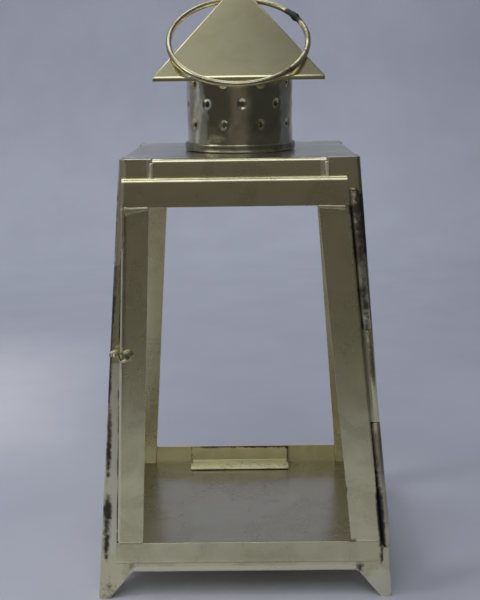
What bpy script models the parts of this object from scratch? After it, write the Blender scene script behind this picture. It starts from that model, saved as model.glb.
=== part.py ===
"""Square brass lantern: a tapered four-post frame with a framed front door on a pin hinge,
a pierced round chimney, a pyramid roof and a swinging carrying ring.

Metres, +Z up. The origin is on the ground under the middle of the whole outline, the front is -Y.
The body's upright axis lies a little behind it, because the door stands out in front.
Every sheet is a bent outline lofted along its length. Pieces that touch keep a seam of SEAM.
"""
import math

import bmesh
import bpy
from mathutils import Matrix, Vector
from mathutils.geometry import interpolate_bezier

for old in list(bpy.data.objects):
    bpy.data.objects.remove(old, do_unlink=True)

# Sheet metal and fits
SHEET = 0.0009              # thickness of all bent brass sheet
FOLD_RADIUS = 0.0016        # outer radius of a fold
SEAM = 0.0003               # gap that soldered or resting pieces keep
HINGE_PLAY = 0.0003         # radial gap between pin and knuckle, and between knuckles
DOOR_PLAY = 0.0004          # gap between the closed door and the front frame

# Tapered body
PLATE_WIDTH = 0.124         # square width of the body at its top
BASE_WIDTH = 0.160          # square width over the feet
BODY_HEIGHT = 0.2364        # ground to the top of the body
POST_FLANGE = 0.017         # width of each leg of the corner posts
FOOT_HEIGHT = 0.0144        # ground to the bottom rails
FOOT_TIP = 0.006            # width of each foot leg at the ground
TOP_RAIL_HEIGHT = 0.0145
BOTTOM_RAIL_HEIGHT = 0.0145
RAIL_RETURN = 0.007         # inward leg of the top and bottom rails
VENT_DIAMETER = 0.054       # hole in the top plate under the chimney

# Chimney
CHIMNEY_DIAMETER = 0.060
CHIMNEY_WALL = 0.0009
BEAD_HEIGHT = 0.0042
BEAD_DEPTH = 0.0010         # how far the bead stands out from the chimney
PIERCED_DIAMETER = 0.003
PIERCED_PER_ROW = 9
PIERCED_ROWS = 3
PIERCED_FIRST = 0.0149      # body top to the middle of the lowest row
PIERCED_PITCH = 0.01115     # from row to row
PIERCED_TURN = 3.4          # degrees from the front to the nearest hole of the middle row

# Roof
EAVE_WIDTH = 0.090
EAVE_SKIRT = 0.0021         # upright rim below the slope
EAVE_RISE = 0.0387          # body top to the lower edge of the rim
ROOF_RISE = 0.0506          # top of the rim to the tip, if it were sharp
TIP_WIDTH = 0.0016          # flat that is left at the tip

# Carrying ring
RING_DIAMETER = 0.074       # to the middle of the wire
RING_WIRE = 0.003
RING_DROP = 0.0101          # sharp tip to the line that the ring turns about
RING_HOLE_PLAY = 0.0008     # radial gap between the wire and its holes in the roof

# Door
DOOR_DEPTH = 0.006          # front of the door in front of the frame
DOOR_TOP_GAP = 0.0095       # body top to the door's top edge
DOOR_BOTTOM_HEIGHT = 0.0214
DOOR_TOP_STRIP = 0.015
DOOR_BOTTOM_STRIP = 0.0123
LATCH_STILE = 0.0143
HINGE_STILE = 0.016
LATCH_INSET_TOP = 0.0026    # corner to the door's latch edge, at its top and bottom
LATCH_INSET_BOTTOM = 0.0094

# Hinge
BARREL_DIAMETER = 0.0048
PIN_DIAMETER = 0.002
PIN_HEAD_DIAMETER = 0.0034
PIN_HEAD_HEIGHT = 0.0008
HINGE_INSET_TOP = 0.0051    # corner to the hinge line, at the door's top and bottom
HINGE_INSET_BOTTOM = 0.0013
HINGE_MARGIN_BOTTOM = 0.0091
HINGE_MARGIN_TOP = 0.0077
LOWER_KNUCKLE = 0.068
DOOR_KNUCKLE = 0.0494

# Latch
LATCH_HEIGHT = 0.136
LATCH_WIRE = 0.0015
PEG_DIAMETER = 0.0016
PEG_INSET = 0.0034          # corner to the peg
RIVET_INSET = 0.0045        # door's latch edge to the rivet
RIVET_SHANK = 0.0018
RIVET_HEAD = 0.0040
RIVET_HEAD_HEIGHT = 0.0008
LATCH_PLAY = 0.0004
LATCH_SAG = 0.0048          # length of the handles that pull the hook's neck down below the peg
LATCH_ARCH = (200, 15)      # degrees round the peg that the hook's arch covers
LATCH_EYE = (-60, 185)      # degrees round the rivet that its eye covers

# Pane clip on the rear bottom rail
CLIP_LENGTH = 0.066
CLIP_OFFSET = -0.004        # its middle, along X
CLIP_HEIGHT = 0.0127        # floor plate to the top of its leg
CLIP_FOLD = 0.0018          # floor plate to its fold; the lip slopes down from there
CLIP_LIP = 0.0115
PANE_SLOT = 0.0022

# Facets of round shapes
FOLD_STEPS = 4
CHIMNEY_FACETS = 72
PIERCED_FACETS = 12
BARREL_FACETS = 20
RING_FACETS = 72
WIRE_FACETS = 12

TAPER = (BASE_WIDTH - PLATE_WIDTH) / 2 / BODY_HEIGHT
LEAN = math.atan(TAPER)
FLOOR_BOTTOM = FOOT_HEIGHT + SHEET + SEAM
FLOOR_TOP = FLOOR_BOTTOM + SHEET
PLATE_TOP = BODY_HEIGHT
PLATE_BOTTOM = PLATE_TOP - SHEET
EAVE_HALF = EAVE_WIDTH / 2
RIM_BOTTOM = BODY_HEIGHT + EAVE_RISE
RIM_TOP = RIM_BOTTOM + EAVE_SKIRT
TIP_HEIGHT = RIM_TOP + ROOF_RISE
ROOF_SLOPE = ROOF_RISE / EAVE_HALF
RING_RADIUS = RING_DIAMETER / 2
RING_HEIGHT = TIP_HEIGHT - RING_DROP

# How far the door's lowest fold stands in front of the feet
DOOR_REACH = DOOR_DEPTH * math.cos(LEAN) - TAPER * (DOOR_BOTTOM_HEIGHT + FOLD_RADIUS)

# The body's frame, on its upright axis
BODY = Matrix.Translation((0, DOOR_REACH / 2, 0))

# The front face as a frame of its own: X along it, Y up its slope, Z straight out of it
FRONT = BODY @ Matrix((
    (1, 0, 0, 0),
    (0, math.sin(LEAN), -math.cos(LEAN), -BASE_WIDTH / 2),
    (0, math.cos(LEAN), math.sin(LEAN), 0),
    (0, 0, 0, 1),
))


def half_width(height):
    """Half the body's square width at a height above the ground."""
    return BASE_WIDTH / 2 - TAPER * height


def corner_on_front(along):
    """X of the right corner in the front frame, at a distance up the slope."""
    return half_width(along * math.cos(LEAN))


def up_slope(height):
    """Distance up the front face for a height above the ground."""
    return height / math.cos(LEAN)


# Materials

def metal(name, colour, roughness):
    material = bpy.data.materials.new(name)
    material.use_nodes = True
    shader = material.node_tree.nodes["Principled BSDF"]
    shader.inputs["Base Color"].default_value = (*colour, 1.0)
    shader.inputs["Metallic"].default_value = 1.0
    shader.inputs["Roughness"].default_value = roughness
    return material


SHEET_COLOUR = (0.56, 0.52, 0.36)
WIRE_COLOUR = (0.62, 0.56, 0.36)
BURNT_COLOUR = (0.24, 0.21, 0.16)


# Shapes

def bent_sheet(path, thickness=SHEET, radius=FOLD_RADIUS, steps=FOLD_STEPS):
    """Closed outline of a sheet whose outer side follows path and whose other side is on its right."""
    corners = [Vector(point) for point in path]
    outer = []
    inner = []

    def add(point, direction):
        outer.append(point)
        inner.append(point + Vector((direction.y, -direction.x)) * thickness)

    add(corners[0], (corners[1] - corners[0]).normalized())
    for before, corner, after in zip(corners, corners[1:], corners[2:]):
        arriving = (corner - before).normalized()
        leaving = (after - corner).normalized()
        turn = math.atan2(arriving.cross(leaving), arriving.dot(leaving))
        bend_radius = math.copysign(radius, turn)
        start = corner - arriving * radius * abs(math.tan(turn / 2))
        centre = start + Vector((-arriving.y, arriving.x)) * bend_radius
        for step in range(steps + 1):
            heading = math.atan2(arriving.y, arriving.x) + turn * step / steps
            direction = Vector((math.cos(heading), math.sin(heading)))
            add(centre + Vector((direction.y, -direction.x)) * bend_radius, direction)
    add(corners[-1], (corners[-1] - corners[-2]).normalized())
    return outer + inner[::-1]


def loft(rings):
    """Closed mesh through rings of equally many points, with flat ends."""
    mesh = bmesh.new()
    loops = [[mesh.verts.new(point) for point in ring] for ring in rings]
    for lower, upper in zip(loops, loops[1:]):
        for index, vertex in enumerate(lower):
            mesh.faces.new((vertex, lower[index - 1], upper[index - 1], upper[index]))
    mesh.faces.new(loops[0])
    mesh.faces.new(loops[-1])
    bmesh.ops.recalc_face_normals(mesh, faces=mesh.faces)
    return mesh


def turned(profile, facets, closed=True):
    """Closed mesh of a profile of (radius, height) points spun about Z."""
    mesh = bmesh.new()
    vertices = [mesh.verts.new((radius, 0, height)) for radius, height in profile]
    edges = [mesh.edges.new(pair) for pair in zip(vertices, vertices[1:])]
    if closed:
        edges.append(mesh.edges.new((vertices[-1], vertices[0])))
    bmesh.ops.spin(mesh, geom=vertices + edges, cent=(0, 0, 0), axis=(0, 0, 1),
                   angle=math.tau, steps=facets, use_merge=True)
    bmesh.ops.remove_doubles(mesh, verts=mesh.verts, dist=1e-6)
    bmesh.ops.recalc_face_normals(mesh, faces=mesh.faces)
    return mesh


def tube(outer, inner, low, high, facets=BARREL_FACETS):
    return turned([(outer, low), (outer, high), (inner, high), (inner, low)], facets)


def place(name, mesh, material, matrix=BODY, parent=None):
    """Turn a bmesh into a named object at a matrix, riding on an empty if one is given."""
    data = bpy.data.meshes.new(name)
    mesh.to_mesh(data)
    mesh.free()
    data.materials.append(material)
    data.shade_smooth()
    data.set_sharp_from_angle(angle=math.radians(35))
    piece = bpy.data.objects.new(name, data)
    bpy.context.collection.objects.link(piece)
    return attach(piece, matrix, parent)


def attach(piece, matrix, parent=None):
    """Set an object's place and hang it on an empty without moving it."""
    piece.matrix_basis = matrix
    if parent is not None:
        piece.parent = parent
        piece.matrix_parent_inverse = parent.matrix_world.inverted()
    return piece


def axis_empty(name, matrix):
    empty = bpy.data.objects.new(name, None)
    empty.empty_display_size = 0.02
    bpy.context.collection.objects.link(empty)
    empty.matrix_world = matrix
    bpy.context.view_layer.update()
    return empty


def cut(piece, cutter):
    """Take a wire-frame cutter out of a piece."""
    cutter.hide_render = True
    cutter.display_type = "WIRE"
    modifier = piece.modifiers.new("Cut " + cutter.name, "BOOLEAN")
    modifier.operation = "DIFFERENCE"
    modifier.solver = "EXACT"
    modifier.object = cutter


def side_turn(side):
    """Turn about the body's axis from the front to side 1 (right), 2 (rear) or 3 (left)."""
    return BODY @ Matrix.Rotation(math.radians(90 * side), 4, "Z")


# Body frame

def corner_post(name, side, material):
    """Folded L post at the right end of a side, running down into a pointed foot."""
    rings = []
    for height, flange in ((0, FOOT_TIP), (FOOT_HEIGHT, POST_FLANGE), (BODY_HEIGHT, POST_FLANGE)):
        corner = half_width(height)
        outline = bent_sheet([(corner, -corner + flange), (corner, -corner), (corner - flange, -corner)])
        rings.append([(x, y, height) for x, y in outline])
    return place(name, loft(rings), material, side_turn(side))


def rail(name, side, path, material):
    """Bent strip between two posts, its ends cut along the posts' slanted edges."""
    outline = bent_sheet(path)
    ends = []
    for sign in (-1, 1):
        reach = [half_width(height) - POST_FLANGE - SEAM for _, height in outline]
        ends.append([(sign * x, y, z) for x, (y, z) in zip(reach, outline)])
    return place(name, loft(ends), material, side_turn(side))


def top_rail_path():
    low = BODY_HEIGHT - TOP_RAIL_HEIGHT
    inner = -half_width(BODY_HEIGHT) + RAIL_RETURN
    return [(-half_width(low), low), (-half_width(BODY_HEIGHT), BODY_HEIGHT), (inner, BODY_HEIGHT)]


def bottom_rail_path():
    high = FOOT_HEIGHT + BOTTOM_RAIL_HEIGHT
    inner = -half_width(FOOT_HEIGHT) + RAIL_RETURN
    return [(inner, FOOT_HEIGHT), (-half_width(FOOT_HEIGHT), FOOT_HEIGHT), (-half_width(high), high)]


def flat_plate(corners, low, high):
    return loft([[(x, y, low) for x, y in corners], [(x, y, high) for x, y in corners]])


def body_frame():
    brass = metal("body_brass", SHEET_COLOUR, 0.32)
    for side, name in enumerate(("front_right", "rear_right", "rear_left", "front_left")):
        corner_post("corner_post_" + name, side, brass)
    for side, name in enumerate(("front", "right", "rear", "left")):
        rail("top_rail_" + name, side, top_rail_path(), brass)
        rail("bottom_rail_" + name, side, bottom_rail_path(), brass)


def floor_plate():
    half = half_width(FLOOR_TOP) - SHEET - SEAM
    corners = [(-half, -half), (half, -half), (half, half), (-half, half)]
    place("floor_plate", flat_plate(corners, FLOOR_BOTTOM, FLOOR_TOP), metal("floor_brass", SHEET_COLOUR, 0.25))


def top_plate():
    """Plate that lies level with the top rails' inward legs, with a notch for each of them."""
    edge = half_width(PLATE_TOP) - SHEET - SEAM
    notch = half_width(PLATE_TOP) - RAIL_RETURN - SEAM
    reach = half_width(PLATE_BOTTOM) - POST_FLANGE
    side = [(-edge, -edge), (-reach, -edge), (-reach, -notch), (reach, -notch), (reach, -edge)]
    corners = []
    for quarter in range(4):
        turn = Matrix.Rotation(math.radians(90 * quarter), 2)
        corners += [turn @ Vector(point) for point in side]
    plate = place("top_plate", flat_plate(corners, PLATE_BOTTOM, PLATE_TOP), metal("top_brass", SHEET_COLOUR, 0.28))
    hole = turned([(0, PLATE_BOTTOM - SHEET), (VENT_DIAMETER / 2, PLATE_BOTTOM - SHEET),
                   (VENT_DIAMETER / 2, PLATE_TOP + SHEET), (0, PLATE_TOP + SHEET)], CHIMNEY_FACETS, closed=False)
    cut(plate, place("vent_cutter", hole, plate.data.materials[0]))


def pane_clip():
    """Strip on the floor plate, its leg a slot's width inside the rear bottom rail.
    The free edge of its lip rests on the plate."""
    floor = FLOOR_TOP + SEAM
    fold = floor + CLIP_FOLD

    def leg(height):
        return -half_width(height) + SHEET / math.cos(LEAN) + PANE_SLOT

    high = floor + CLIP_HEIGHT
    outline = bent_sheet([(leg(fold) + CLIP_LIP, floor), (leg(fold), fold), (leg(high), high)])
    middle = -CLIP_OFFSET
    ends = [[(middle + sign * CLIP_LENGTH / 2, y, z) for y, z in outline] for sign in (-1, 1)]
    place("rear_pane_clip", loft(ends), metal("clip_brass", WIRE_COLOUR, 0.3), side_turn(2))


# Chimney and roof

def pierced_angle(row, index):
    """Angle of a hole in degrees; every other row is turned by half a pitch."""
    pitch = 360 / PIERCED_PER_ROW
    middle_row = (PIERCED_ROWS - 1) // 2
    stagger = pitch / 2 if (row - middle_row) % 2 else 0
    return -90 + PIERCED_TURN + stagger + pitch * index


def chimney():
    """Pierced tube that stands on the top plate and carries the roof on its upper edge."""
    outer = CHIMNEY_DIAMETER / 2
    inner = outer - CHIMNEY_WALL
    low = PLATE_TOP + SEAM
    under_roof = TIP_HEIGHT - (SHEET + SEAM) * math.hypot(ROOF_SLOPE, 1)
    high = under_roof - ROOF_SLOPE * outer
    brass = metal("chimney_brass", SHEET_COLOUR, 0.22)
    wall = place("chimney", tube(outer, inner, low, high, CHIMNEY_FACETS), brass)
    punches = bmesh.new()
    for row in range(PIERCED_ROWS):
        for index in range(PIERCED_PER_ROW):
            height = BODY_HEIGHT + PIERCED_FIRST + PIERCED_PITCH * row
            turn = Matrix.Rotation(math.radians(pierced_angle(row, index)), 4, "Z")
            out = Matrix.Translation((outer, 0, height)) @ Matrix.Rotation(math.radians(90), 4, "Y")
            bmesh.ops.create_cone(punches, cap_ends=True, segments=PIERCED_FACETS,
                                  radius1=PIERCED_DIAMETER / 2, radius2=PIERCED_DIAMETER / 2,
                                  depth=CHIMNEY_WALL * 6, matrix=turn @ out)
    cut(wall, place("pierced_cutter", punches, brass))


def chimney_bead():
    """Half-round ring round the foot of the chimney."""
    inner = CHIMNEY_DIAMETER / 2 + SEAM
    low = PLATE_TOP + SEAM
    profile = [(inner, low)]
    for step in range(7):
        angle = math.pi * (step / 6 - 0.5)
        height = low + BEAD_HEIGHT * (1 + math.sin(angle)) / 2
        profile.append((inner + BEAD_DEPTH * (0.35 + 0.65 * math.cos(angle)), height))
    profile.append((inner, low + BEAD_HEIGHT))
    place("chimney_bead", turned(profile, CHIMNEY_FACETS), metal("bead_brass", WIRE_COLOUR, 0.2))


def roof():
    """Folded pyramid with an upright rim and two holes for the ring."""
    mesh = bmesh.new()
    tip_rise = ROOF_SLOPE * (EAVE_WIDTH - TIP_WIDTH) / 2
    rings = []
    for half, height in ((EAVE_HALF, RIM_BOTTOM), (EAVE_HALF, RIM_TOP), (TIP_WIDTH / 2, RIM_TOP + tip_rise)):
        rings.append([mesh.verts.new((x * half, y * half, height)) for x, y in ((-1, -1), (1, -1), (1, 1), (-1, 1))])
    for lower, upper in zip(rings, rings[1:]):
        for index in range(4):
            mesh.faces.new((lower[index - 1], lower[index], upper[index], upper[index - 1]))
    mesh.faces.new(rings[-1])
    bmesh.ops.recalc_face_normals(mesh, faces=mesh.faces)
    shell = place("roof", mesh, metal("roof_brass", SHEET_COLOUR, 0.3))
    thicken = shell.modifiers.new("Sheet", "SOLIDIFY")
    thicken.thickness = SHEET
    thicken.offset = -1
    thicken.use_even_offset = True
    punch = bmesh.new()
    across = Matrix.Translation((0, 0, RING_HEIGHT)) @ Matrix.Rotation(math.radians(90), 4, "Y")
    hole_radius = RING_WIRE / 2 + RING_HOLE_PLAY
    bmesh.ops.create_cone(punch, cap_ends=True, segments=BARREL_FACETS, radius1=hole_radius,
                          radius2=hole_radius, depth=EAVE_WIDTH, matrix=across)
    cut(shell, place("ring_hole_cutter", punch, shell.data.materials[0]))


# Carrying ring

def ring_reach():
    """Distance from the turning line to the ring's middle, with the wire centred in its holes."""
    hole_half = RING_DROP / ROOF_SLOPE
    return math.sqrt(RING_RADIUS ** 2 - hole_half ** 2)


def ring_point(lean, angle):
    """Point of the wire's middle line at an angle round the ring, 0 at the tip of the roof."""
    along = ring_reach() - RING_RADIUS * math.cos(angle)
    return Vector((RING_RADIUS * math.sin(angle), -along * math.cos(lean), RING_HEIGHT - along * math.sin(lean)))


def roof_distance(point):
    """How far a point lies outside the roof's outer faces."""
    slant = math.hypot(ROOF_SLOPE, 1)
    sides = [(ROOF_SLOPE * abs(value) + point.z - TIP_HEIGHT) / slant for value in (point.x, point.y)]
    rims = [abs(value) - EAVE_HALF for value in (point.x, point.y)]
    return max(sides + rims + [RIM_BOTTOM - point.z])


def ring_lean():
    """Angle below level at which the wire comes to rest on the roof's front."""
    clear_of_holes = math.asin((RING_DROP / ROOF_SLOPE + 2 * RING_WIRE) / RING_RADIUS)
    angles = [clear_of_holes + (math.pi - clear_of_holes) * step / 180 for step in range(181)]
    low = 0.0
    high = math.radians(80)
    for _ in range(40):
        middle = (low + high) / 2
        gap = min(roof_distance(ring_point(middle, angle)) for angle in angles) - RING_WIRE / 2
        low, high = (middle, high) if gap > SEAM else (low, middle)
    return low


def carrying_ring():
    lean = ring_lean()
    pivot = axis_empty("ring_axis", BODY @ Matrix.Translation((0, 0, RING_HEIGHT)))
    wire = bmesh.new()
    loops = []
    for step in range(RING_FACETS):
        angle = math.tau * step / RING_FACETS
        centre = ring_point(lean, angle)
        middle = ring_point(lean, 0) + (ring_point(lean, math.pi) - ring_point(lean, 0)) / 2
        outward = (centre - middle).normalized()
        upward = Vector((0, -math.sin(lean), math.cos(lean)))
        loop = []
        for facet in range(WIRE_FACETS):
            turn = math.tau * facet / WIRE_FACETS
            loop.append(wire.verts.new(centre + (outward * math.cos(turn) + upward * math.sin(turn)) * RING_WIRE / 2))
        loops.append(loop)
    for index, loop in enumerate(loops):
        before = loops[index - 1]
        for facet in range(WIRE_FACETS):
            wire.faces.new((before[facet - 1], before[facet], loop[facet], loop[facet - 1]))
    bmesh.ops.recalc_face_normals(wire, faces=wire.faces)
    place("carrying_ring", wire, metal("ring_brass", WIRE_COLOUR, 0.25), parent=pivot)


# Door, in the front frame

def between(bottom, top, along):
    """A size that changes evenly from the door's bottom edge to its top edge."""
    low = up_slope(DOOR_BOTTOM_HEIGHT)
    high = up_slope(BODY_HEIGHT - DOOR_TOP_GAP)
    return bottom + (top - bottom) * (along - low) / (high - low)


def latch_edge(along):
    """X of the door's free edge at a distance up the slope."""
    return between(LATCH_INSET_BOTTOM, LATCH_INSET_TOP, along) - corner_on_front(along)


def hinge_middle(along):
    """X of the hinge's middle line at a distance up the slope."""
    return corner_on_front(along) - between(HINGE_INSET_BOTTOM, HINGE_INSET_TOP, along)


def hinge_edge(along):
    """X of the door's hinged edge, a running gap away from the barrel."""
    return hinge_middle(along) - BARREL_DIAMETER / 2 - DOOR_PLAY


def door_strip(name, path, material, pivot):
    """Bent strip across the whole door; path is in (depth from the front, distance up the slope)."""
    outline = bent_sheet(path)
    ends = [[(edge(along), along, -depth) for depth, along in outline] for edge in (latch_edge, hinge_edge)]
    place(name, loft(ends), material, FRONT, pivot)


def door_stile(name, edge, inward, width, low, high, material, pivot):
    """Bent strip up one side of the door; its folded edge follows edge(), the rest lies inward of it."""
    front = -DOOR_DEPTH
    path = [(width, front), (0, front), (0, -DOOR_PLAY)]
    outline = bent_sheet(path) if inward > 0 else [(-x, y) for x, y in bent_sheet(path)]
    rings = [[(edge(along) + x, along, -depth) for x, depth in outline] for along in (low, high)]
    place(name, loft(rings), material, FRONT, pivot)


def hinge_line(along):
    """Point of the hinge's middle line in the front frame."""
    return Vector((hinge_middle(along), along, BARREL_DIAMETER / 2 + SEAM))


def hinge_matrix():
    """Frame at the lower end of the hinge, with Z up its middle line."""
    low = hinge_line(up_slope(DOOR_BOTTOM_HEIGHT) + HINGE_MARGIN_BOTTOM)
    high = hinge_line(up_slope(BODY_HEIGHT - DOOR_TOP_GAP) - HINGE_MARGIN_TOP)
    upright = (high - low).normalized()
    outward = Vector((0, 0, 1))
    across = upright.cross(outward).normalized()
    turn = Matrix((across, outward, upright)).transposed().to_4x4()
    return FRONT @ Matrix.Translation(low) @ turn, (high - low).length


def door(pivot):
    brass = metal("door_brass", SHEET_COLOUR, 0.3)
    bottom = up_slope(DOOR_BOTTOM_HEIGHT)
    top = up_slope(BODY_HEIGHT - DOOR_TOP_GAP)
    front = -DOOR_DEPTH
    back = -DOOR_PLAY
    door_strip("door_top_strip", [(front, top - DOOR_TOP_STRIP), (front, top), (back, top)], brass, pivot)
    door_strip("door_bottom_strip", [(back, bottom), (front, bottom), (front, bottom + DOOR_BOTTOM_STRIP)],
               brass, pivot)
    low = bottom + DOOR_BOTTOM_STRIP + SEAM
    high = top - DOOR_TOP_STRIP - SEAM
    door_stile("door_latch_stile", latch_edge, 1, LATCH_STILE, low, high, brass, pivot)
    door_stile("door_hinge_stile", hinge_edge, -1, HINGE_STILE, low, high, brass, pivot)


def hinge(matrix, length, pivot):
    """Three knuckles on one headed pin: the middle one turns with the door."""
    burnt = metal("knuckle_brass", BURNT_COLOUR, 0.5)
    outer = BARREL_DIAMETER / 2
    inner = PIN_DIAMETER / 2 + HINGE_PLAY
    door_low = LOWER_KNUCKLE + HINGE_PLAY
    door_high = door_low + DOOR_KNUCKLE
    place("hinge_knuckle_lower", tube(outer, inner, 0, LOWER_KNUCKLE), burnt, matrix)
    place("hinge_knuckle_door", tube(outer, inner, door_low, door_high),
          metal("door_knuckle_brass", SHEET_COLOUR, 0.4), matrix, pivot)
    place("hinge_knuckle_upper", tube(outer, inner, door_high + HINGE_PLAY, length), burnt, matrix)
    shank = PIN_DIAMETER / 2
    head = PIN_HEAD_DIAMETER / 2
    profile = [(0, -SEAM - PIN_HEAD_HEIGHT), (head, -SEAM - PIN_HEAD_HEIGHT), (head, -SEAM), (shank, -SEAM),
               (shank, length + SEAM), (head, length + SEAM), (head, length + SEAM + PIN_HEAD_HEIGHT),
               (0, length + SEAM + PIN_HEAD_HEIGHT)]
    place("hinge_pin", turned(profile, BARREL_FACETS, closed=False), metal("pin_brass", WIRE_COLOUR, 0.35), matrix)


# Latch, in the front frame

def latch_places():
    """Middles of the peg and of the rivet on the front frame."""
    along = up_slope(LATCH_HEIGHT)
    peg = Vector((-corner_on_front(along) + PEG_INSET, along))
    rivet = Vector((latch_edge(along) + RIVET_INSET, along))
    return peg, rivet


def polar(degrees, radius):
    return Vector((math.cos(math.radians(degrees)), math.sin(math.radians(degrees)))) * radius


def arc(middle, radius, span, steps):
    first, last = span
    return [middle + polar(first + (last - first) * step / steps, radius) for step in range(steps + 1)]


def hook_path():
    """Wire's middle line: over the peg, down through the neck and round the rivet.
    The neck stays nearer to the rivet than the peg is, so the hook can swing up past the peg."""
    peg, rivet = latch_places()
    arch = arc(peg, (PEG_DIAMETER + LATCH_WIRE) / 2 + LATCH_PLAY, LATCH_ARCH, 12)
    eye = arc(rivet, (RIVET_SHANK + LATCH_WIRE) / 2 + LATCH_PLAY, LATCH_EYE, 14)
    first_pull = arch[-1] + polar(LATCH_ARCH[1] - 90, LATCH_SAG)
    last_pull = eye[0] + polar(LATCH_EYE[0] - 90, LATCH_SAG)
    neck = interpolate_bezier(arch[-1], first_pull, last_pull, eye[0], 11)
    return arch + [point.to_2d() for point in neck[1:-1]] + eye


def latch(door_pivot):
    peg, rivet = latch_places()
    brass = metal("latch_brass", WIRE_COLOUR, 0.25)
    face = DOOR_DEPTH + SEAM
    wire_level = face + LATCH_WIRE / 2

    peg_top = face + LATCH_WIRE
    half = PEG_DIAMETER / 2
    peg_profile = [(0, SEAM), (half, SEAM), (half, peg_top), (half * 0.6, peg_top + half * 0.4), (0, peg_top + half * 0.5)]
    place("latch_peg", turned(peg_profile, WIRE_FACETS, closed=False), brass,
          FRONT @ Matrix.Translation((*peg, 0)))

    shank = RIVET_SHANK / 2
    head = RIVET_HEAD / 2
    head_low = face + LATCH_WIRE + SEAM
    rivet_profile = [(0, face), (shank, face), (shank, head_low), (head, head_low),
                     (head * 0.9, head_low + RIVET_HEAD_HEIGHT * 0.6), (head * 0.45, head_low + RIVET_HEAD_HEIGHT),
                     (0, head_low + RIVET_HEAD_HEIGHT)]
    place("latch_rivet", turned(rivet_profile, BARREL_FACETS, closed=False), brass,
          FRONT @ Matrix.Translation((*rivet, 0)), door_pivot)

    turning = FRONT @ Matrix.Translation((*rivet, 0))
    pivot = axis_empty("latch_axis", turning)
    curve = bpy.data.curves.new("latch_hook", "CURVE")
    curve.dimensions = "3D"
    curve.bevel_depth = LATCH_WIRE / 2
    curve.bevel_resolution = 2
    curve.use_fill_caps = True
    path = hook_path()
    spline = curve.splines.new("POLY")
    spline.points.add(len(path) - 1)
    for point, (x, y) in zip(spline.points, path):
        point.co = (x, y, wire_level, 1)
    curve.materials.append(brass)
    hook = bpy.data.objects.new("latch_hook", curve)
    bpy.context.collection.objects.link(hook)
    attach(hook, FRONT, pivot)


def main():
    body_frame()
    floor_plate()
    top_plate()
    pane_clip()
    chimney()
    chimney_bead()
    roof()
    carrying_ring()
    hinge_frame, hinge_length = hinge_matrix()
    door_pivot = axis_empty("door_axis", hinge_frame)
    door(door_pivot)
    hinge(hinge_frame, hinge_length, door_pivot)
    latch(door_pivot)


main()
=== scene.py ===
# %% [markdown]
# # A hanging brass lantern
#
# The real lantern is cut from pale brass sheet, folded into strips, and soldered by hand. Four corner posts
# lean in to a smaller top, a door swings on a long pin, and a pierced chimney carries a pyramid roof with a
# wire ring. The CAD model gives every place and every joint. Here each strip is folded again with finer
# bends, and gets the solder, the brushing and the burn marks that a workshop leaves, and some painted shade
# and painted light.

# %% Load the frame
from math import atan, cos, degrees, pi, radians, sin, sqrt, tan, tau

import bmesh
import bpy
from mathutils import Matrix, Vector, geometry, noise


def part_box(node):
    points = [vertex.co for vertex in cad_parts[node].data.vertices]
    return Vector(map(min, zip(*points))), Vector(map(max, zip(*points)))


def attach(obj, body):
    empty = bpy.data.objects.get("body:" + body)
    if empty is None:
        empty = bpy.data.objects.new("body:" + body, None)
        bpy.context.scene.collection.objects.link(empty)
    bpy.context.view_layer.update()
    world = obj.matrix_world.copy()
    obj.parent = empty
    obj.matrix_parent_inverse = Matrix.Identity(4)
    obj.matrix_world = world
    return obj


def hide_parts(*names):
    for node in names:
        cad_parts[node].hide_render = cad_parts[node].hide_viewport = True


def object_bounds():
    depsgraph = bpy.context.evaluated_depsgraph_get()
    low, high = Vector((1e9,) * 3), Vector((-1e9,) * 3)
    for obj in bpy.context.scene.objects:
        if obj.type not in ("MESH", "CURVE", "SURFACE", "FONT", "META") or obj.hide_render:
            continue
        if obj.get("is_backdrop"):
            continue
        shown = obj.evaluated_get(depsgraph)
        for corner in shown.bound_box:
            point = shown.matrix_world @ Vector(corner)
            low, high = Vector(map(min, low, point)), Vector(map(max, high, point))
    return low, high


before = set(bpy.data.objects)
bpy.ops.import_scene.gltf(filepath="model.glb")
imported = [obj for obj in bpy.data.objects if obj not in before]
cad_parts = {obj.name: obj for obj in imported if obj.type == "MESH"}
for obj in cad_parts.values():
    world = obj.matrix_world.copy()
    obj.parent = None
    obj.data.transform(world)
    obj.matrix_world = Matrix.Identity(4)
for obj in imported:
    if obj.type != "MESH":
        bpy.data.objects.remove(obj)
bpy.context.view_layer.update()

# %% [markdown]
# ## Measures
#
# A sheet metal worker keeps one list of sizes at the bench. These are the same sizes as in the CAD model, in
# metres, so each new piece lands exactly on the solid that it stands for. The body leans in by the same
# slope on all four sides, so one function gives its width at any height.

# %% Sizes of the lantern
MM = 0.001
SHEET = 0.9 * MM
FOLD = 2.1 * MM
SEAM = 0.3 * MM
DOOR_PLAY = 0.4 * MM
PLATE_HALF = 62 * MM
BASE_HALF = 80 * MM
BODY_HEIGHT = 236.4 * MM
POST_FLANGE = 17 * MM
FOOT_HEIGHT = 14.4 * MM
FOOT_TIP = 6 * MM
RAIL_HEIGHT = 14.5 * MM
RAIL_RETURN = 7 * MM
TAPER = (BASE_HALF - PLATE_HALF) / BODY_HEIGHT
LEAN = atan(TAPER)
floor_low, floor_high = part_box("floor_plate")
AXIS_Y = (floor_low.y + floor_high.y) / 2
BODY = Matrix.Translation((0, AXIS_Y, 0))
FRONT = BODY @ Matrix((
    (1, 0, 0, 0),
    (0, sin(LEAN), -cos(LEAN), -BASE_HALF),
    (0, cos(LEAN), sin(LEAN), 0),
    (0, 0, 0, 1),
))


def half_width(height):
    """Half the body's width at a height above the ground."""
    return BASE_HALF - TAPER * height


def up_slope(height):
    """Distance up the leaning front for a height above the ground."""
    return height / cos(LEAN)


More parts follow.
